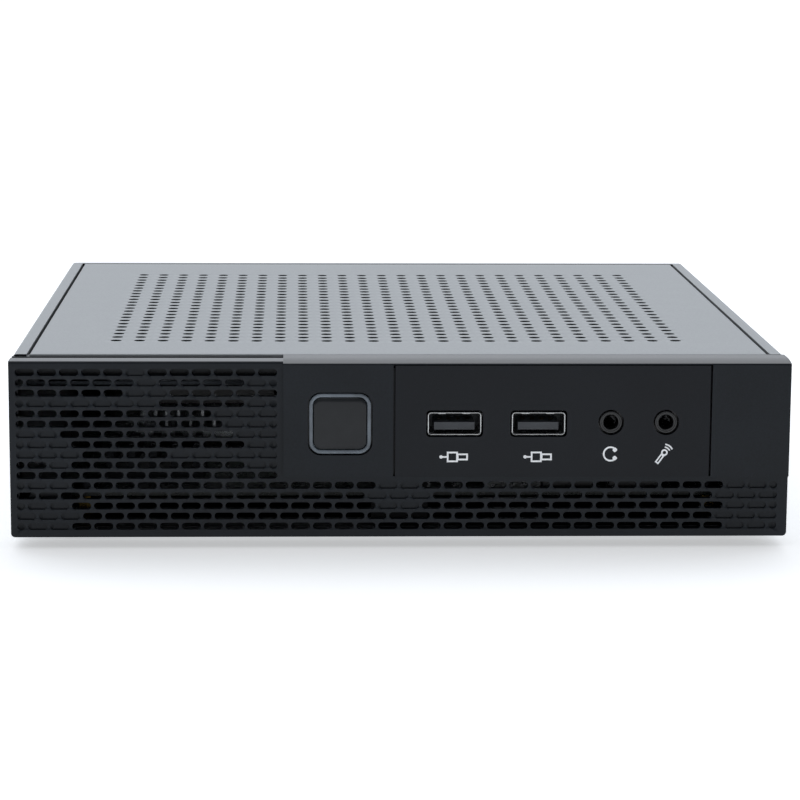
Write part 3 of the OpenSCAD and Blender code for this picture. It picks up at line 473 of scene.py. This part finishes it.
class MeshDraft:
    """Points in case millimetres, and the faces between them."""

    def __init__(self) -> None:
        """Starts an empty draft."""
        self.points: list[Sequence[float]] = []
        self.faces: list[tuple[int, ...]] = []

    def point(self, at: Sequence[float]) -> int:
        """Adds a point and returns its number."""
        self.points.append(at)
        return len(self.points) - 1

    def loop(self, points: Iterable[Sequence[float]]) -> list[int]:
        """Adds a run of points and returns their numbers."""
        return [self.point(at) for at in points]

    def strip(self, first: Sequence[int], second: Sequence[int]) -> None:
        """Joins two closed runs of the same length with quads."""
        for i in range(len(first)):
            j = (i + 1) % len(first)
            self.faces.append((first[i], first[j], second[j], second[i]))

    def loft(self, loops: Sequence[Sequence[int]], capped: bool = True) -> None:
        """Skins a row of loops.

        Args:
            loops: runs of points of the same length.
            capped: closes both ends with a face, instead of joining the last loop back to the first.
        """
        for first, second in zip(loops, loops[1:]):
            self.strip(first, second)
        if capped:
            self.faces += [tuple(reversed(loops[0])), tuple(loops[-1])]
        else:
            self.strip(loops[-1], loops[0])

    def collar(self, rings: Iterable[Ring], at: Pair, face_y: float, capped: bool = False) -> None:
        """Skins a row of outlines in X and Z, one behind another.

        Args:
            rings: each outline, about its middle, with its depth behind face_y.
            at: the middle in X and Z.
            face_y: where depth is measured from.
            capped: closes both ends, instead of joining the last outline to the first.
        """
        loops = [self.loop((at[0] + x, face_y + deep, at[1] + z) for x, z in ring) for ring, deep in rings]
        self.loft(loops, capped)

    def turned(self, at: Pair, profile: Sequence[Pair], steps: int = 28) -> None:
        """Turns a profile of radius and height about an upright axis, closed at both ends."""
        rings = [(round_loop(radius, steps), z) for radius, z in profile]
        self.loft([self.loop((at[0] + x, at[1] + y, z) for x, y in ring) for ring, z in rings])

    def tube(self, centres: Sequence[Sequence[float]], radius: float, sides: int = 10) -> None:
        """Draws a round tube along a run of points, with both ends closed."""
        spots = [Vector(c) for c in centres]
        across = Vector((0, 0, 1)).cross(spots[1] - spots[0]).normalized()
        loops = []
        for i, spot in enumerate(spots):
            ahead = (spots[min(i + 1, len(spots) - 1)] - spots[max(i - 1, 0)]).normalized()
            across = (across - ahead * across.dot(ahead)).normalized()
            third = ahead.cross(across)
            loops.append(self.loop(spot + u * across + v * third for u, v in round_loop(radius, sides)))
        self.loft(loops)

    def block(self, low: Point, high: Point, edge: float) -> None:
        """Adds a box with chamfered edges.

        Args:
            low: its lowest corner.
            high: its highest corner.
            edge: width of the chamfer.
        """
        middle = [(a + b) / 2 for a, b in zip(low, high)]
        width, depth, height = (b - a for a, b in zip(low, high))
        loops = []
        for inset, up in ((edge, 0), (0, edge), (0, height - edge), (edge, height)):
            ring = rounded_loop(width - 2 * inset, depth - 2 * inset, max(edge - inset, 0.02), 1)
            loops.append(self.loop((middle[0] + x, middle[1] + y, low[2] + up) for x, y in ring))
        self.loft(loops)

    def piece(
        self,
        name: str,
        slot_name: str,
        body: str = "root",
        stands_for: Sequence[str] = (),
        sharp: float = 32.0,
        finish: Optional[Finish] = None,
    ) -> bpy.types.Object:
        """Makes the piece from the draft.

        Args:
            name: the piece's name.
            slot_name: the record's material slot that it takes its finish from.
            body: the body that it rides on.
            stands_for: the nodes that it replaces.
            sharp: angle in degrees above which an edge stays sharp.
            finish: the finish, if it isn't the slot's usual one.

        Returns:
            The new object.
        """
        mesh = bpy.data.meshes.new(name)
        mesh.from_pydata([CASE(at) for at in self.points], [], self.faces)
        shape = bmesh.new()
        shape.from_mesh(mesh)
        bmesh.ops.recalc_face_normals(shape, faces=shape.faces)
        shape.to_mesh(mesh)
        shape.free()
        mesh.shade_smooth()
        mesh.set_sharp_from_angle(angle=math.radians(sharp))
        mesh.materials.append((finish or SLOT_FINISH[slot_name]).material())
        made = bpy.data.objects.new(name, mesh)
        bpy.context.scene.collection.objects.link(made)
        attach(made, body)
        if stands_for:
            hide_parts(*stands_for)
        LOG.info("built %s: %d faces", name, len(mesh.polygons))
        return made


@dataclass(frozen=True)
class Hole:
    """One round hole of a sheet: the lattice cells it takes up, its middle and its radius."""

    columns: tuple[int, int]
    rows: tuple[int, int]
    middle: Pair
    radius: float


class PunchedSheet(MeshDraft):
    """A sheet on a lattice of lines, with round punched holes and rounded borders."""

    def __init__(self, place: Callable[[float, float, float], Point], thick: float) -> None:
        """Starts the sheet.

        Args:
            place: puts a point of the sheet's two axes, at a depth below its face, into case millimetres.
            thick: the sheet's thickness.
        """
        super().__init__()
        self.place = place
        self.thick = thick
        self.known: dict[tuple[float, ...], int] = {}
        self.flat: dict[int, Pair] = {}

    def spot(self, u: float, v: float, depth: float, layer: int) -> int:
        """Returns the point of one layer, front 0 or back 1, at a place in the sheet."""
        key = (round(u, 4), round(v, 4), round(depth, 4), layer)
        if key not in self.known:
            self.known[key] = self.point(self.place(u, v, depth))
            self.flat[self.known[key]] = (u, v)
        return self.known[key]

    def bridge(self, first: Sequence[int], second: Sequence[int], middle: Pair) -> None:
        """Joins two loops round one hole that have different numbers of points.

        Args:
            first: the loop whose side the faces keep.
            second: the other loop.
            middle: the hole's middle, in the two axes of the sheet.
        """

        def by_angle(loop: Sequence[int]) -> list[tuple[float, int]]:
            """Returns the loop by angle, with its start repeated a turn later."""
            spots = []
            for i in loop:
                u, v = self.flat[i]
                spots.append((math.atan2(v - middle[1], u - middle[0]) % TAU, i))
            spots.sort()
            return spots + [(spots[0][0] + TAU, spots[0][1])]

        a, b = by_angle(first), by_angle(second)
        i = j = 0
        while i < len(a) - 1 or j < len(b) - 1:
            if j == len(b) - 1 or (i < len(a) - 1 and a[i + 1][0] <= b[j + 1][0]):
                self.faces.append((a[i][1], a[i + 1][1], b[j][1]))
                i += 1
            else:
                self.faces.append((a[i][1], b[j + 1][1], b[j][1]))
                j += 1

    def lay(
        self,
        across: Sequence[Pair],
        along: Sequence[Pair],
        holes: Sequence[Hole],
        lip: float,
        breakout: float,
        steps: int,
    ) -> None:
        """Fills the lattice.

        Args:
            across: place and border depth of each line along the first axis.
            along: the same along the second axis.
            holes: the holes, each over its own cells.
            lip: radius of the rounded edge of a hole.
            breakout: how much wider a hole is at the back, as punching leaves it.
            steps: faces round a hole.
        """
        taken = {(i, j) for h in holes for i in range(*h.columns) for j in range(*h.rows)}

        def node_at(i: int, j: int, layer: int) -> int:
            """Returns the lattice point of a layer."""
            depth = self.thick if layer else max(across[i][1], along[j][1])
            return self.spot(across[i][0], along[j][0], depth, layer)

        def round_cells(columns: tuple[int, int], rows: tuple[int, int]) -> list[tuple[int, int]]:
            """Returns the lattice crossings round a block of cells, anticlockwise."""
            (i0, i1), (j0, j1) = columns, rows
            ring = [(i, j0) for i in range(i0, i1)] + [(i1, j) for j in range(j0, j1)]
            return ring + [(i, j1) for i in range(i1, i0, -1)] + [(i0, j) for j in range(j1, j0, -1)]

        for layer in (0, 1):
            for i in range(len(across) - 1):
                for j in range(len(along) - 1):
                    if (i, j) in taken:
                        continue
                    corners = ((i, j), (i + 1, j), (i + 1, j + 1), (i, j + 1))
                    face = tuple(node_at(a, b, layer) for a, b in corners)
                    self.faces.append(face if layer == 0 else face[::-1])
        border = round_cells((0, len(across) - 1), (0, len(along) - 1))
        self.strip([node_at(i, j, 1) for i, j in border], [node_at(i, j, 0) for i, j in border])
        thick = self.thick
        profile = [(lip, 0.0), (lip * 0.3, lip * 0.3), (0.0, lip), (0.0, 0.35 * thick), (breakout, thick)]
        for hole in holes:
            ring = round_cells(hole.columns, hole.rows)
            front = [node_at(i, j, 0) for i, j in ring]
            loops = []
            for grow, depth in profile:
                edge = round_loop(hole.radius + grow, steps, 0.5)
                outline = [(hole.middle[0] + u, hole.middle[1] + v) for u, v in edge]
                loops.append([self.point(self.place(u, v, depth)) for u, v in outline])
                self.flat.update(zip(loops[-1], outline))
            self.bridge(front, loops[0], hole.middle)
            for first, second in zip(loops, loops[1:]):
                self.strip(first, second)
            self.bridge(loops[-1], [node_at(i, j, 1) for i, j in ring], hole.middle)


def rounded_ends(lines: Sequence[float], radius: float) -> list[Pair]:
    """Adds a rounded border to the first and last of a row of lines.

    Args:
        lines: the lines' places, ends included.
        radius: of the border.

    Returns:
        Place and border depth of each line.
    """
    turns = [math.radians(a) for a in (0, 25, 50, 75)]
    steps = [(radius * (1 - math.cos(a)), radius * (1 - math.sin(a))) for a in turns]
    low = [(lines[0] + inset, depth) for inset, depth in steps]
    high = [(lines[-1] - inset, depth) for inset, depth in reversed(steps)]
    inner = [(at, 0.0) for at in (lines[0] + radius, *lines[1:-1], lines[-1] - radius)]
    return low + inner + high


# ---- Sub-assemblies ----


@dataclass
class SubAssembly:
    """A group of nodes and pieces that belong together."""

    kept: ClassVar[tuple[str, ...]] = ()
    edge_mm: ClassVar[float] = 0.15
    sharp: ClassVar[tuple[str, ...]] = ()
    finishes: ClassVar[dict[str, Finish]] = {}

    def build(self) -> None:
        """Builds the pieces that stand for nodes."""

    def dress(self) -> None:
        """Gives each kept node its finish and its broken edges."""
        for name in self.kept:
            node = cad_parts[name]
            for index, slot in enumerate(node.data.materials):
                node.data.materials[index] = self.finishes.get(name, SLOT_FINISH[slot.name]).material()
            node.data.shade_smooth()
            if name not in self.sharp:
                edge_finish(node, self.edge_mm)
            LOG.info("dressed %s", name)


@dataclass
class Case(SubAssembly):
    """The folded tray, its feet and the cover's screws."""

    kept = ("base_tray", "cover_screws", "rubber_feet", "io_shield")
    sharp = ("io_shield",)
    finishes = {"base_tray": TRAY_COAT}


@dataclass
class Front(SubAssembly):
    """The moulded grille with its raised block, and the port plate with its printed marks."""

    kept = ("front_bezel", "port_plate", "port_marks", "bezel_screws")
    edge_mm = 0.12
    sharp = ("port_plate", "port_marks")


@dataclass
class TopCover(SubAssembly):
    """The perforated steel cover, bowed down a little in its middle, with its side folds and rear ears."""

    half_width: float = 90.8
    front: float = 9.9
    back: float = 189.3
    top: float = 43.65
    sheet: float = 1.0
    edge: float = 0.35
    bow: float = 0.4
    side_lines: Pair = (87.5, 81.0)  # extra lines in the plain margins, so that the bow stays smooth
    front_lines: Point = (13.5, 18.5, 24.0)
    back_lines: Point = (171.5, 177.5, 183.5)
    hole_radius: float = 1.375
    lip: float = 0.08
    breakout: float = 0.35
    hole_steps: int = 28
    pitch: float = 5.925
    columns: int = 25
    rows: int = 23
    first_row: float = 32.8
    fold_drop: float = 6.0
    fold_from: float = 16.9
    fold_to: float = 187.3
    ear_x: Pair = (-70.0, 70.0)
    ear: Pair = (12.0, 11.6)
    ear_corner: float = 1.5
    ear_middle: float = 37.4
    ear_back: float = 191.3
    screw_radius: float = 1.25

    def surface(self, x: float, y: float, depth: float) -> Point:
        """Returns the place of a point of the sheet."""
        along = (y - self.front) / (self.back - self.front)
        sag = self.bow * (1 - (x / self.half_width) ** 2) * math.sin(math.pi * min(max(along, 0), 1)) ** 0.75
        return (x, y, self.top - sag - depth)

    def punched(self, draft: PunchedSheet) -> None:
        """Draws the perforated sheet, with each hole over two cells by two of its lattice."""
        half = self.pitch / 2
        left = -self.columns * half
        start = self.first_row - half
        margin = (self.half_width, *self.side_lines)
        xs = [left + i * half for i in range(2 * self.columns + 1)]
        ys = [start + j * half for j in range(2 * self.rows + 1)]
        across = rounded_ends([*(-x for x in margin), *xs, *margin[::-1]], self.edge)
        along = rounded_ends([self.front, *self.front_lines, *ys, *self.back_lines, self.back], self.edge)
        first_i = [x for x, _ in across].index(left)
        first_j = [y for y, _ in along].index(start)
        holes = []
        for i in range(first_i, first_i + 2 * self.columns, 2):
            for j in range(first_j, first_j + 2 * self.rows, 2):
                middle = (across[i + 1][0], along[j + 1][0])
                holes.append(Hole((i, i + 2), (j, j + 2), middle, self.hole_radius))
        draft.lay(across, along, holes, self.lip, self.breakout, self.hole_steps)

    def folds(self, draft: MeshDraft) -> None:
        """Draws the two side folds and the two rear ears, each with its screw hole."""
        under = self.top - self.sheet
        for side in (-1, 1):
            x0, x1 = sorted((side * (self.half_width - self.sheet), side * self.half_width))
            draft.block((x0, self.fold_from, under - self.fold_drop), (x1, self.fold_to, under + 0.3), 0.2)
        wide, high = self.ear
        outer, inner = (
            rounded_loop(wide - 2 * inset, high - 2 * inset, self.ear_corner, 7) for inset in (0.0, 0.1)
        )
        hole = round_loop(self.screw_radius, len(outer))
        sheet = self.sheet
        rings = [(outer, sheet - 0.1), (outer, 0.1), (inner, 0.0), (hole, 0.0), (hole, sheet), (inner, sheet)]
        for x in self.ear_x:
            low = (x - wide / 2, self.back - 1, under - sheet)
            draft.block(low, (x + wide / 2, self.ear_back, under + 0.05), 0.15)
            draft.collar(rings, (x, self.ear_middle), self.ear_back - sheet)

    def build(self) -> None:
        """Builds the cover."""
        draft = PunchedSheet(self.surface, self.sheet)
        self.punched(draft)
        self.folds(draft)
        draft.piece("perforated_cover", "silver_coated_steel", stands_for=["top_cover"], finish=COVER_COAT)


@dataclass
class PowerButton(SubAssembly):
    """The smoked cap in its light guide, sprung from the bracket behind."""

    kept = (
        *("button_carrier", "switch_bracket", "switch_body", "switch_plunger", "switch_board"),
        "indicator_led",
    )
    middle: Pair = (-14.9, 28.2)
    outer: Pair = (15.1, 14.9)
    corner: float = 3.0
    ring: float = 1.0
    front: float = -0.8
    back: float = 2.1
    pillow: float = 0.12
    coil_radius: float = 4.2
    wire: float = 0.25
    coils: int = 5
    coil_steps: int = 32
    spring_from: float = 3.3
    spring_to: float = 8.4
    travel: float = 1.0

    def cap(self) -> None:
        """Builds the cap, pillowed and with a soft edge."""
        width, height = (size - 2 * self.ring for size in self.outer)
        draft = MeshDraft()
        profile = [(0.02, self.back - self.front), (0.02, 0.5), (0.1, 0.34), (0.28, 0.2), (0.7, self.pillow)]
        for share in (0.2, 0.35, 0.5, 0.65, 0.8, 0.9, 0.96):
            profile.append((height / 2 * share, self.pillow * (1 - math.sin(share * TAU / 4))))
        rings = []
        for inset, depth in profile:
            corner = max(2.0 - inset * 0.55, 0.1)
            rings.append((rounded_loop(width - 2 * inset, height - 2 * inset * 0.99, corner), depth))
        draft.collar(rings, self.middle, self.front, capped=True)
        draft.piece("button_lens", "smoked_acrylic", "power_button", ["button_cap"])

    def guide(self) -> None:
        """Builds the light guide round the cap."""
        width, height = self.outer
        draft = MeshDraft()
        deep, inner = self.back - self.front, self.ring - 0.04
        profile = [(0, deep), (0, 0.3), (0.08, 0.1), (0.25, 0.0), (0.62, 0.0), (0.85, 0.1), (inner, 0.34)]
        rings = [
            (rounded_loop(width - 2 * inset, height - 2 * inset, self.corner - inset, 10), depth)
            for inset, depth in (*profile, (inner, deep))
        ]
        draft.collar(rings, self.middle, self.front)
        draft.piece("button_light_guide", "grey_light_guide", "power_button", ["button_light_ring"])

    def spring(self) -> None:
        """Builds the return spring."""
        draft = MeshDraft()
        length = self.spring_to - self.spring_from
        count = self.coils * self.coil_steps
        centres = []
        for i in range(count + 1):
            angle = i / self.coil_steps * TAU
            y = self.spring_from + self.wire + i / count * (length - 2 * self.wire)
            x, z = self.coil_radius * math.cos(angle), self.coil_radius * math.sin(angle)
            centres.append((self.middle[0] + x, y, self.middle[1] + z))
        draft.tube(centres, self.wire, 8)
        piece = draft.piece("button_return_spring", "spring_steel", "root", ["button_spring"], 60)
        anchor = CASE((self.middle[0], self.spring_to, self.middle[1]))
        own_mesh(piece)

    def build(self) -> None:
        """Builds the moving pieces."""
        self.cap()
        self.guide()
        self.spring()


@dataclass
class FrontSockets(SubAssembly):
    """The two USB shells with their leaf springs, and the two audio jacks."""

    kept = ("front_usb_tongues", "front_usb_contacts", "front_port_board", "port_board_screws")
    edge_mm = 0.08
    # the front contacts get the gold with painted shade
    finishes = {"front_usb_contacts": SHADED_GOLD}
    usb_x: Pair = (12.95, 33.45)
    usb_z: float = 28.16
    shell: Pair = (13.14, 5.7)
    shell_corner: float = 0.9
    metal: float = 0.3
    face: float = -0.5
    depth: float = 14.0
    leaf_x: float = 3.0
    leaf: Pair = (1.9, 0.2)
    jack_x: Pair = (51.1, 64.6)
    jack_z: float = 28.55
    jack_face: float = -0.6
    jack_body: float = 1.7
    collar: float = 2.75
    bore: float = 1.8
    bore_depth: float = 14.1
    contact_x: float = 1.95
    contact_radius: float = 0.22

    def shell_rings(self, profile: Sequence[Pair]) -> list[Ring]:
        """Returns the shell's outline at each inset and depth of a profile."""
        wide, high = self.shell
        return [
            (rounded_loop(wide - 2 * inset, high - 2 * inset, self.shell_corner - inset, 5), depth)
            for inset, depth in profile
        ]

    def shells(self) -> None:
        """Builds the drawn steel shells with rolled rims and pressed leaf springs."""
        draft = MeshDraft()
        metal, deep = self.metal, self.depth
        rim = [(0, deep), (0, 0.12), (0.05, 0.03), (0.13, 0), (0.2, 0.02), (metal, 0.12), (metal, deep)]
        for x in self.usb_x:
            at = (x, self.usb_z)
            draft.collar(self.shell_rings(rim), at, self.face)
            draft.collar(self.shell_rings([(0.02, deep - metal), (0.02, deep)]), at, self.face, capped=True)
            for across in (-self.leaf_x, self.leaf_x):
                self.spring_leaf(draft, x + across, self.usb_z + self.shell[1] / 2 - metal)
        draft.piece("usb_shells", "bright_tin_steel", "root", ["front_usb_shells"])

    def spring_leaf(self, draft: MeshDraft, x: float, z: float) -> None:
        """Draws one leaf spring that leans down into the socket.

        Args:
            draft: the mesh draft.
            x: its middle.
            z: the wall it springs from.
        """
        half, thick = self.leaf[0] / 2, self.leaf[1]
        loops = []
        for y, dip in ((9.5, 0.0), (6.0, 0.22), (3.4, 0.5), (2.6, 0.5), (1.8, 0.28)):
            low, high = z - dip, z - dip - thick
            corners = ((-half, low), (half, low), (half, high), (-half, high))
            loops.append(draft.loop((x + side, y, up) for side, up in corners))
        draft.loft(loops)

    def jacks(self) -> None:
        """Builds each jack: body, stepped collar, bore and the contact spring inside."""
        wall, deep = self.collar - self.bore, self.bore_depth
        profile = [(0, 2.6), (0, 0.14), (0.1, 0.03), (0.22, 0.0), (0.42, 0.0), (0.5, 0.1)]
        profile += [(wall - 0.16, 0.12), (wall - 0.05, 0.2), (wall, 0.42), (wall, deep - 0.2)]
        profile += [(wall - 0.5, deep), (0.4, deep), (0.4, 2.6)]
        bends = ((12.0, 0), (8.0, 0.1), (5.0, 0.35), (3.6, 0.1))
        rings = [(round_loop(self.collar - inset), depth) for inset, depth in profile]
        for name, x in zip(("headphone_jack", "microphone_jack"), self.jack_x):
            draft = MeshDraft()
            draft.collar(rings, (x, self.jack_z), self.jack_face)
            self.body(draft, name, x)
            draft.piece(f"{name}_moulding", "black_socket_plastic", "root", [name])
            contact = MeshDraft()
            side = x - self.contact_x
            contact.tube([(side, y, self.jack_z + bend) for y, bend in bends], self.contact_radius, 8)
            contact.piece(f"{name}_contact", "gold_contacts", "root")

    def body(self, draft: MeshDraft, node: str, x: float) -> None:
        """Draws a jack's square body round its bore, as large as its node's.

        Args:
            draft: the mesh draft.
            node: the jack's node.
            x: the bore's middle.
        """
        low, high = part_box(node)
        wide, tall = (high.x - low.x) / MM, (high.z - low.z) / MM
        middle = ((low.x + high.x) / 2 / MM, (low.z + high.z) / 2 / MM - CASE.base)
        deep = high.y / MM - CASE.front - self.jack_body
        outer, inner = (rounded_loop(wide - 2 * inset, tall - 2 * inset, 0.4, 11) for inset in (0.0, 0.2))
        shift = (x - middle[0], self.jack_z - middle[1])
        hole = [(shift[0] + u, shift[1] + v) for u, v in round_loop(self.bore + 0.5, len(outer))]
        rings = [(outer, deep - 0.2), (outer, 0.2), (inner, 0.0), (hole, 0.0), (hole, deep), (inner, deep)]
        draft.collar(rings, middle, self.jack_body)

    def build(self) -> None:
        """Builds the front sockets."""
        self.shells()
        self.jacks()


@dataclass
class Mainboard(SubAssembly):
    """The square board with its sockets, coils, cans and headers."""

    kept = (
        *("mainboard", "board_standoffs", "board_screws", "cpu_socket", "cpu_package", "chipset_heatsink"),
        *("board_chokes", "pin_headers", "header_pins", "memory_sockets", "memory_modules", "wireless_card"),
        *("coin_cell_holder", "coin_cell"),
    )
    finishes = {"chipset_heatsink": BLACK_ANODISED, "board_screws": BLACK_ZINC}
    top: float = 7.6
    can_radius: float = 3.1
    low_cans: tuple[float, float, int] = (-70.0, 8.2, 7)  # first one's X, pitch and count
    low_y: float = 167.0
    low_height: float = 6.4
    tall_cans: tuple[Pair, ...] = ((78, 60), (78, 68), (12, 40), (20, 40))
    tall_height: float = 8.0

    def can(self, draft: MeshDraft, at: Pair, height: float) -> None:
        """Draws one capacitor can: seat, crimp groove, rounded shoulder and rolled rim."""
        radius, z = self.can_radius, self.top
        profile = [(radius - 0.3, z), (radius, z + 0.1), (radius, z + 1.0), (radius - 0.3, z + 1.3)]
        profile += [(radius, z + 1.6), (radius, z + height - 0.5), (radius - 0.15, z + height - 0.15)]
        profile += [(radius - 0.5, z + height), (radius - 0.75, z + height - 0.12), (0.4, z + height - 0.12)]
        draft.turned(at, profile)

    def build(self) -> None:
        """Builds the capacitors."""
        draft = MeshDraft()
        start, pitch, count = self.low_cans
        for i in range(count):
            self.can(draft, (start + i * pitch, self.low_y), self.low_height)
        for at in self.tall_cans:
            self.can(draft, at, self.tall_height)
        draft.piece("capacitor_cans", "component_metal", stands_for=["board_capacitors"])


@dataclass
class Cooler(SubAssembly):
    """The finned heatsink and its fan."""

    kept = ("cooler_heatsink", "cooler_screws", "fan_frame", "fan_rotor", "fan_screws")


@dataclass
class Storage(SubAssembly):
    """The drive on its shelf."""

    kept = ("storage_drive", "drive_bracket", "drive_screws")
    edge_mm = 0.3


@dataclass
class RearSockets(SubAssembly):
    """The sockets along the rear wall."""

    kept = (
        *("rear_usb_shells", "rear_usb_tongues", "network_jack", "video_shells", "video_tongues"),
        *("power_jack", "rear_audio_jacks"),
    )


@dataclass(frozen=True)
class Loom:
    """One cable: its node, its curve's four points, its radius, its wires and any housing's X."""

    node: str
    curve: tuple[Point, Point, Point, Point]
    radius: float
    wires: int
    housing: Optional[Pair] = None


@dataclass
class Wiring(SubAssembly):
    """The cables inside, as twisted wires."""

    housing_y: Pair = (22.8, 29.2)
    housing_z: Pair = (10.1, 19.6)
    steps: int = 48
    twist: float = 2.5
    looms: tuple[Loom, ...] = (
        Loom(
            "front_usb_cable",
            ((40.5, 26, 24.4), (40.5, 44, 24.4), (43.08, 42, 16), (43.08, 29.2, 16)),
            *(1.6, 4, (36.2, 49.96)),
        ),
        Loom(
            "front_audio_cable",
            ((60, 26, 24.4), (60, 44, 24.4), (60.08, 42, 16), (60.08, 29.2, 16)),
            *(1.3, 3, (53.2, 66.96)),
        ),
        Loom("switch_cable", ((-14.4, 17.1, 23), (-14.4, 32, 23), (22, 26, 14), (36.2, 26, 14)), 1.1, 2),
        Loom("fan_cable", ((-30, 75, 23.5), (-30, 64, 23.5), (-20, 62, 16), (-20, 62, 7.6)), 1.0, 3),
        Loom("drive_cable", ((30, 130, 37.5), (30, 148, 37.5), (8, 166, 24), (8, 166, 7.6)), 1.8, 5),
    )

    def wire(self, draft: MeshDraft, loom: Loom, number: int) -> None:
        """Draws one wire of a cable, wound round the cable's middle."""
        p = [Vector(c) for c in loom.curve]
        thick = loom.radius / (1 + 1 / math.sin(math.pi / loom.wires))
        lay = loom.radius - thick
        centres = []
        for i in range(self.steps + 1):
            t = i / self.steps
            u = 1 - t
            spot = u**3 * p[0] + 3 * t * u * u * p[1] + 3 * t * t * u * p[2] + t**3 * p[3]
            way = u * u * (p[1] - p[0]) + 2 * t * u * (p[2] - p[1]) + t * t * (p[3] - p[2])
            side = way.cross(Vector((0.31, 0.12, 0.94))).normalized()
            other = way.normalized().cross(side)
            angle = (number / loom.wires + t * self.twist) * TAU
            centres.append(spot + lay * (math.cos(angle) * side + math.sin(angle) * other))
        draft.tube(centres, thick)

    def build(self) -> None:
        """Builds every cable, and the housings on the two headers."""
        for loom in self.looms:
            draft = MeshDraft()
            for number in range(loom.wires):
                self.wire(draft, loom, number)
            if loom.housing:
                low, high = zip(loom.housing, self.housing_y, self.housing_z)
                draft.block(low, high, 0.4)
            draft.piece(f"{loom.node}_wires", "black_cable", stands_for=[loom.node], sharp=45)


# ---- Studio ----


@dataclass(frozen=True)
class SoftBox:
    """One lamp with a white cloth front: its middle, aim and size in metres, and its power in watts."""

    name: str
    at: Point
    aim: Point
    size: Pair
    power: float


@dataclass
class Studio:
    """Pale floor, soft light and the camera, whose place is in millimetres of the row frame."""

    lens: float = 123.69
    sensor: float = 36.0
    eye: Point = (-25.398, -752.891, 151.762)
    down: float = 9.901
    right: float = 2.182
    roll: float = 0.354
    room_front: float = 0.24
    room_back: float = 1.3
    room_tint: str = "#f3f8ff"
    floor_half: float = 6.0
    lamps: tuple[SoftBox, ...] = (
        SoftBox("rear_softbox", (-0.12, 0.62, 0.75), (-0.02, 0.08, 0.04), (1.2, 0.8), 1.8),
        SoftBox("front_softbox", (-0.25, -0.9, 1.1), (0, 0, 0.03), (0.9, 0.6), 1.8),
    )

    def surroundings(self) -> None:
        """Makes a pale room: bright behind and above the machine, dim in front of it."""
        world = bpy.data.worlds.new("studio")
        world.use_nodes = True
        tree = world.node_tree
        tree.nodes.clear()
        way = add_node(tree, "ShaderNodeTexCoord").outputs["Generated"]
        split = add_node(tree, "ShaderNodeSeparateXYZ", links={"Vector": way})
        settings = {"From Min": -0.35, "From Max": 0.6, "To Min": self.room_front, "To Max": self.room_back}
        settings["interpolation_type"] = "SMOOTHSTEP"
        strength = add_node(tree, "ShaderNodeMapRange", settings, {"Value": split.outputs["Y"]})
        links = {"Strength": strength.outputs["Result"]}
        room = add_node(tree, "ShaderNodeBackground", {"Color": linear(self.room_tint)}, links)
        add_node(tree, "ShaderNodeOutputWorld", links={"Surface": room.outputs["Background"]})
        bpy.context.scene.world = world

    def camera(self) -> None:
        """Sets the camera at the viewing angle."""
        yaw, pitch, roll = (math.radians(a) for a in (self.right, self.down, self.roll))
        side = Vector((math.cos(yaw), -math.sin(yaw), 0))
        ahead = Vector((math.sin(yaw) * math.cos(pitch), math.cos(yaw) * math.cos(pitch), -math.sin(pitch)))
        up = side.cross(ahead)
        rolled_side = side * math.cos(roll) + up * math.sin(roll)
        rolled_up = up * math.cos(roll) - side * math.sin(roll)
        data = bpy.data.cameras.new("camera")
        data.lens = self.lens
        data.sensor_width = self.sensor
        data.clip_start = 0.01
        data.clip_end = 50
        made = bpy.data.objects.new("camera", data)
        turn = Matrix((rolled_side, rolled_up, -ahead)).transposed().to_4x4()
        made.matrix_world = Matrix.Translation(Vector(self.eye) * MM) @ turn
        bpy.context.scene.collection.objects.link(made)
        bpy.context.scene.camera = made

    def floor(self) -> None:
        """Lays the floor under the feet."""
        mesh = bpy.data.meshes.new("floor")
        half = self.floor_half
        corners = [(-half, -half, 0), (half, -half, 0), (half, half, 0), (-half, half, 0)]
        mesh.from_pydata(corners, [], [(0, 1, 2, 3)])
        made = bpy.data.objects.new("floor", mesh)
        bpy.context.scene.collection.objects.link(made)
        mesh.materials.append(LightTable("lit_acrylic_table").material())

    def lamp(self, box: SoftBox) -> None:
        """Hangs one soft box."""
        data = bpy.data.lights.new(box.name, "AREA")
        data.shape = "RECTANGLE"
        data.size, data.size_y = box.size
        data.energy = box.power
        made = bpy.data.objects.new(box.name, data)
        made.location = box.at
        made.rotation_mode = "QUATERNION"
        made.rotation_quaternion = (Vector(box.aim) - Vector(box.at)).to_track_quat("-Z", "Y")
        bpy.context.scene.collection.objects.link(made)

    def build(self) -> None:
        """Builds the floor, the surroundings, the lamps and the camera."""
        self.surroundings()
        self.floor()
        for box in self.lamps:
            self.lamp(box)
        self.camera()
        bpy.context.scene.view_settings.view_transform = "Standard"


def main() -> None:
    """Builds every sub-assembly, then the studio."""
    logging.basicConfig(level=logging.INFO, format="%(message)s")
    outside = (Case(), TopCover(), Front(), PowerButton(), FrontSockets())
    inside = (Mainboard(), Cooler(), Storage(), RearSockets(), Wiring())
    for assembly in outside + inside:
        LOG.info("sub-assembly %s", type(assembly).__name__)
        assembly.build()
        assembly.dress()
    Studio().build()


if __name__ == "__main__":
    main()
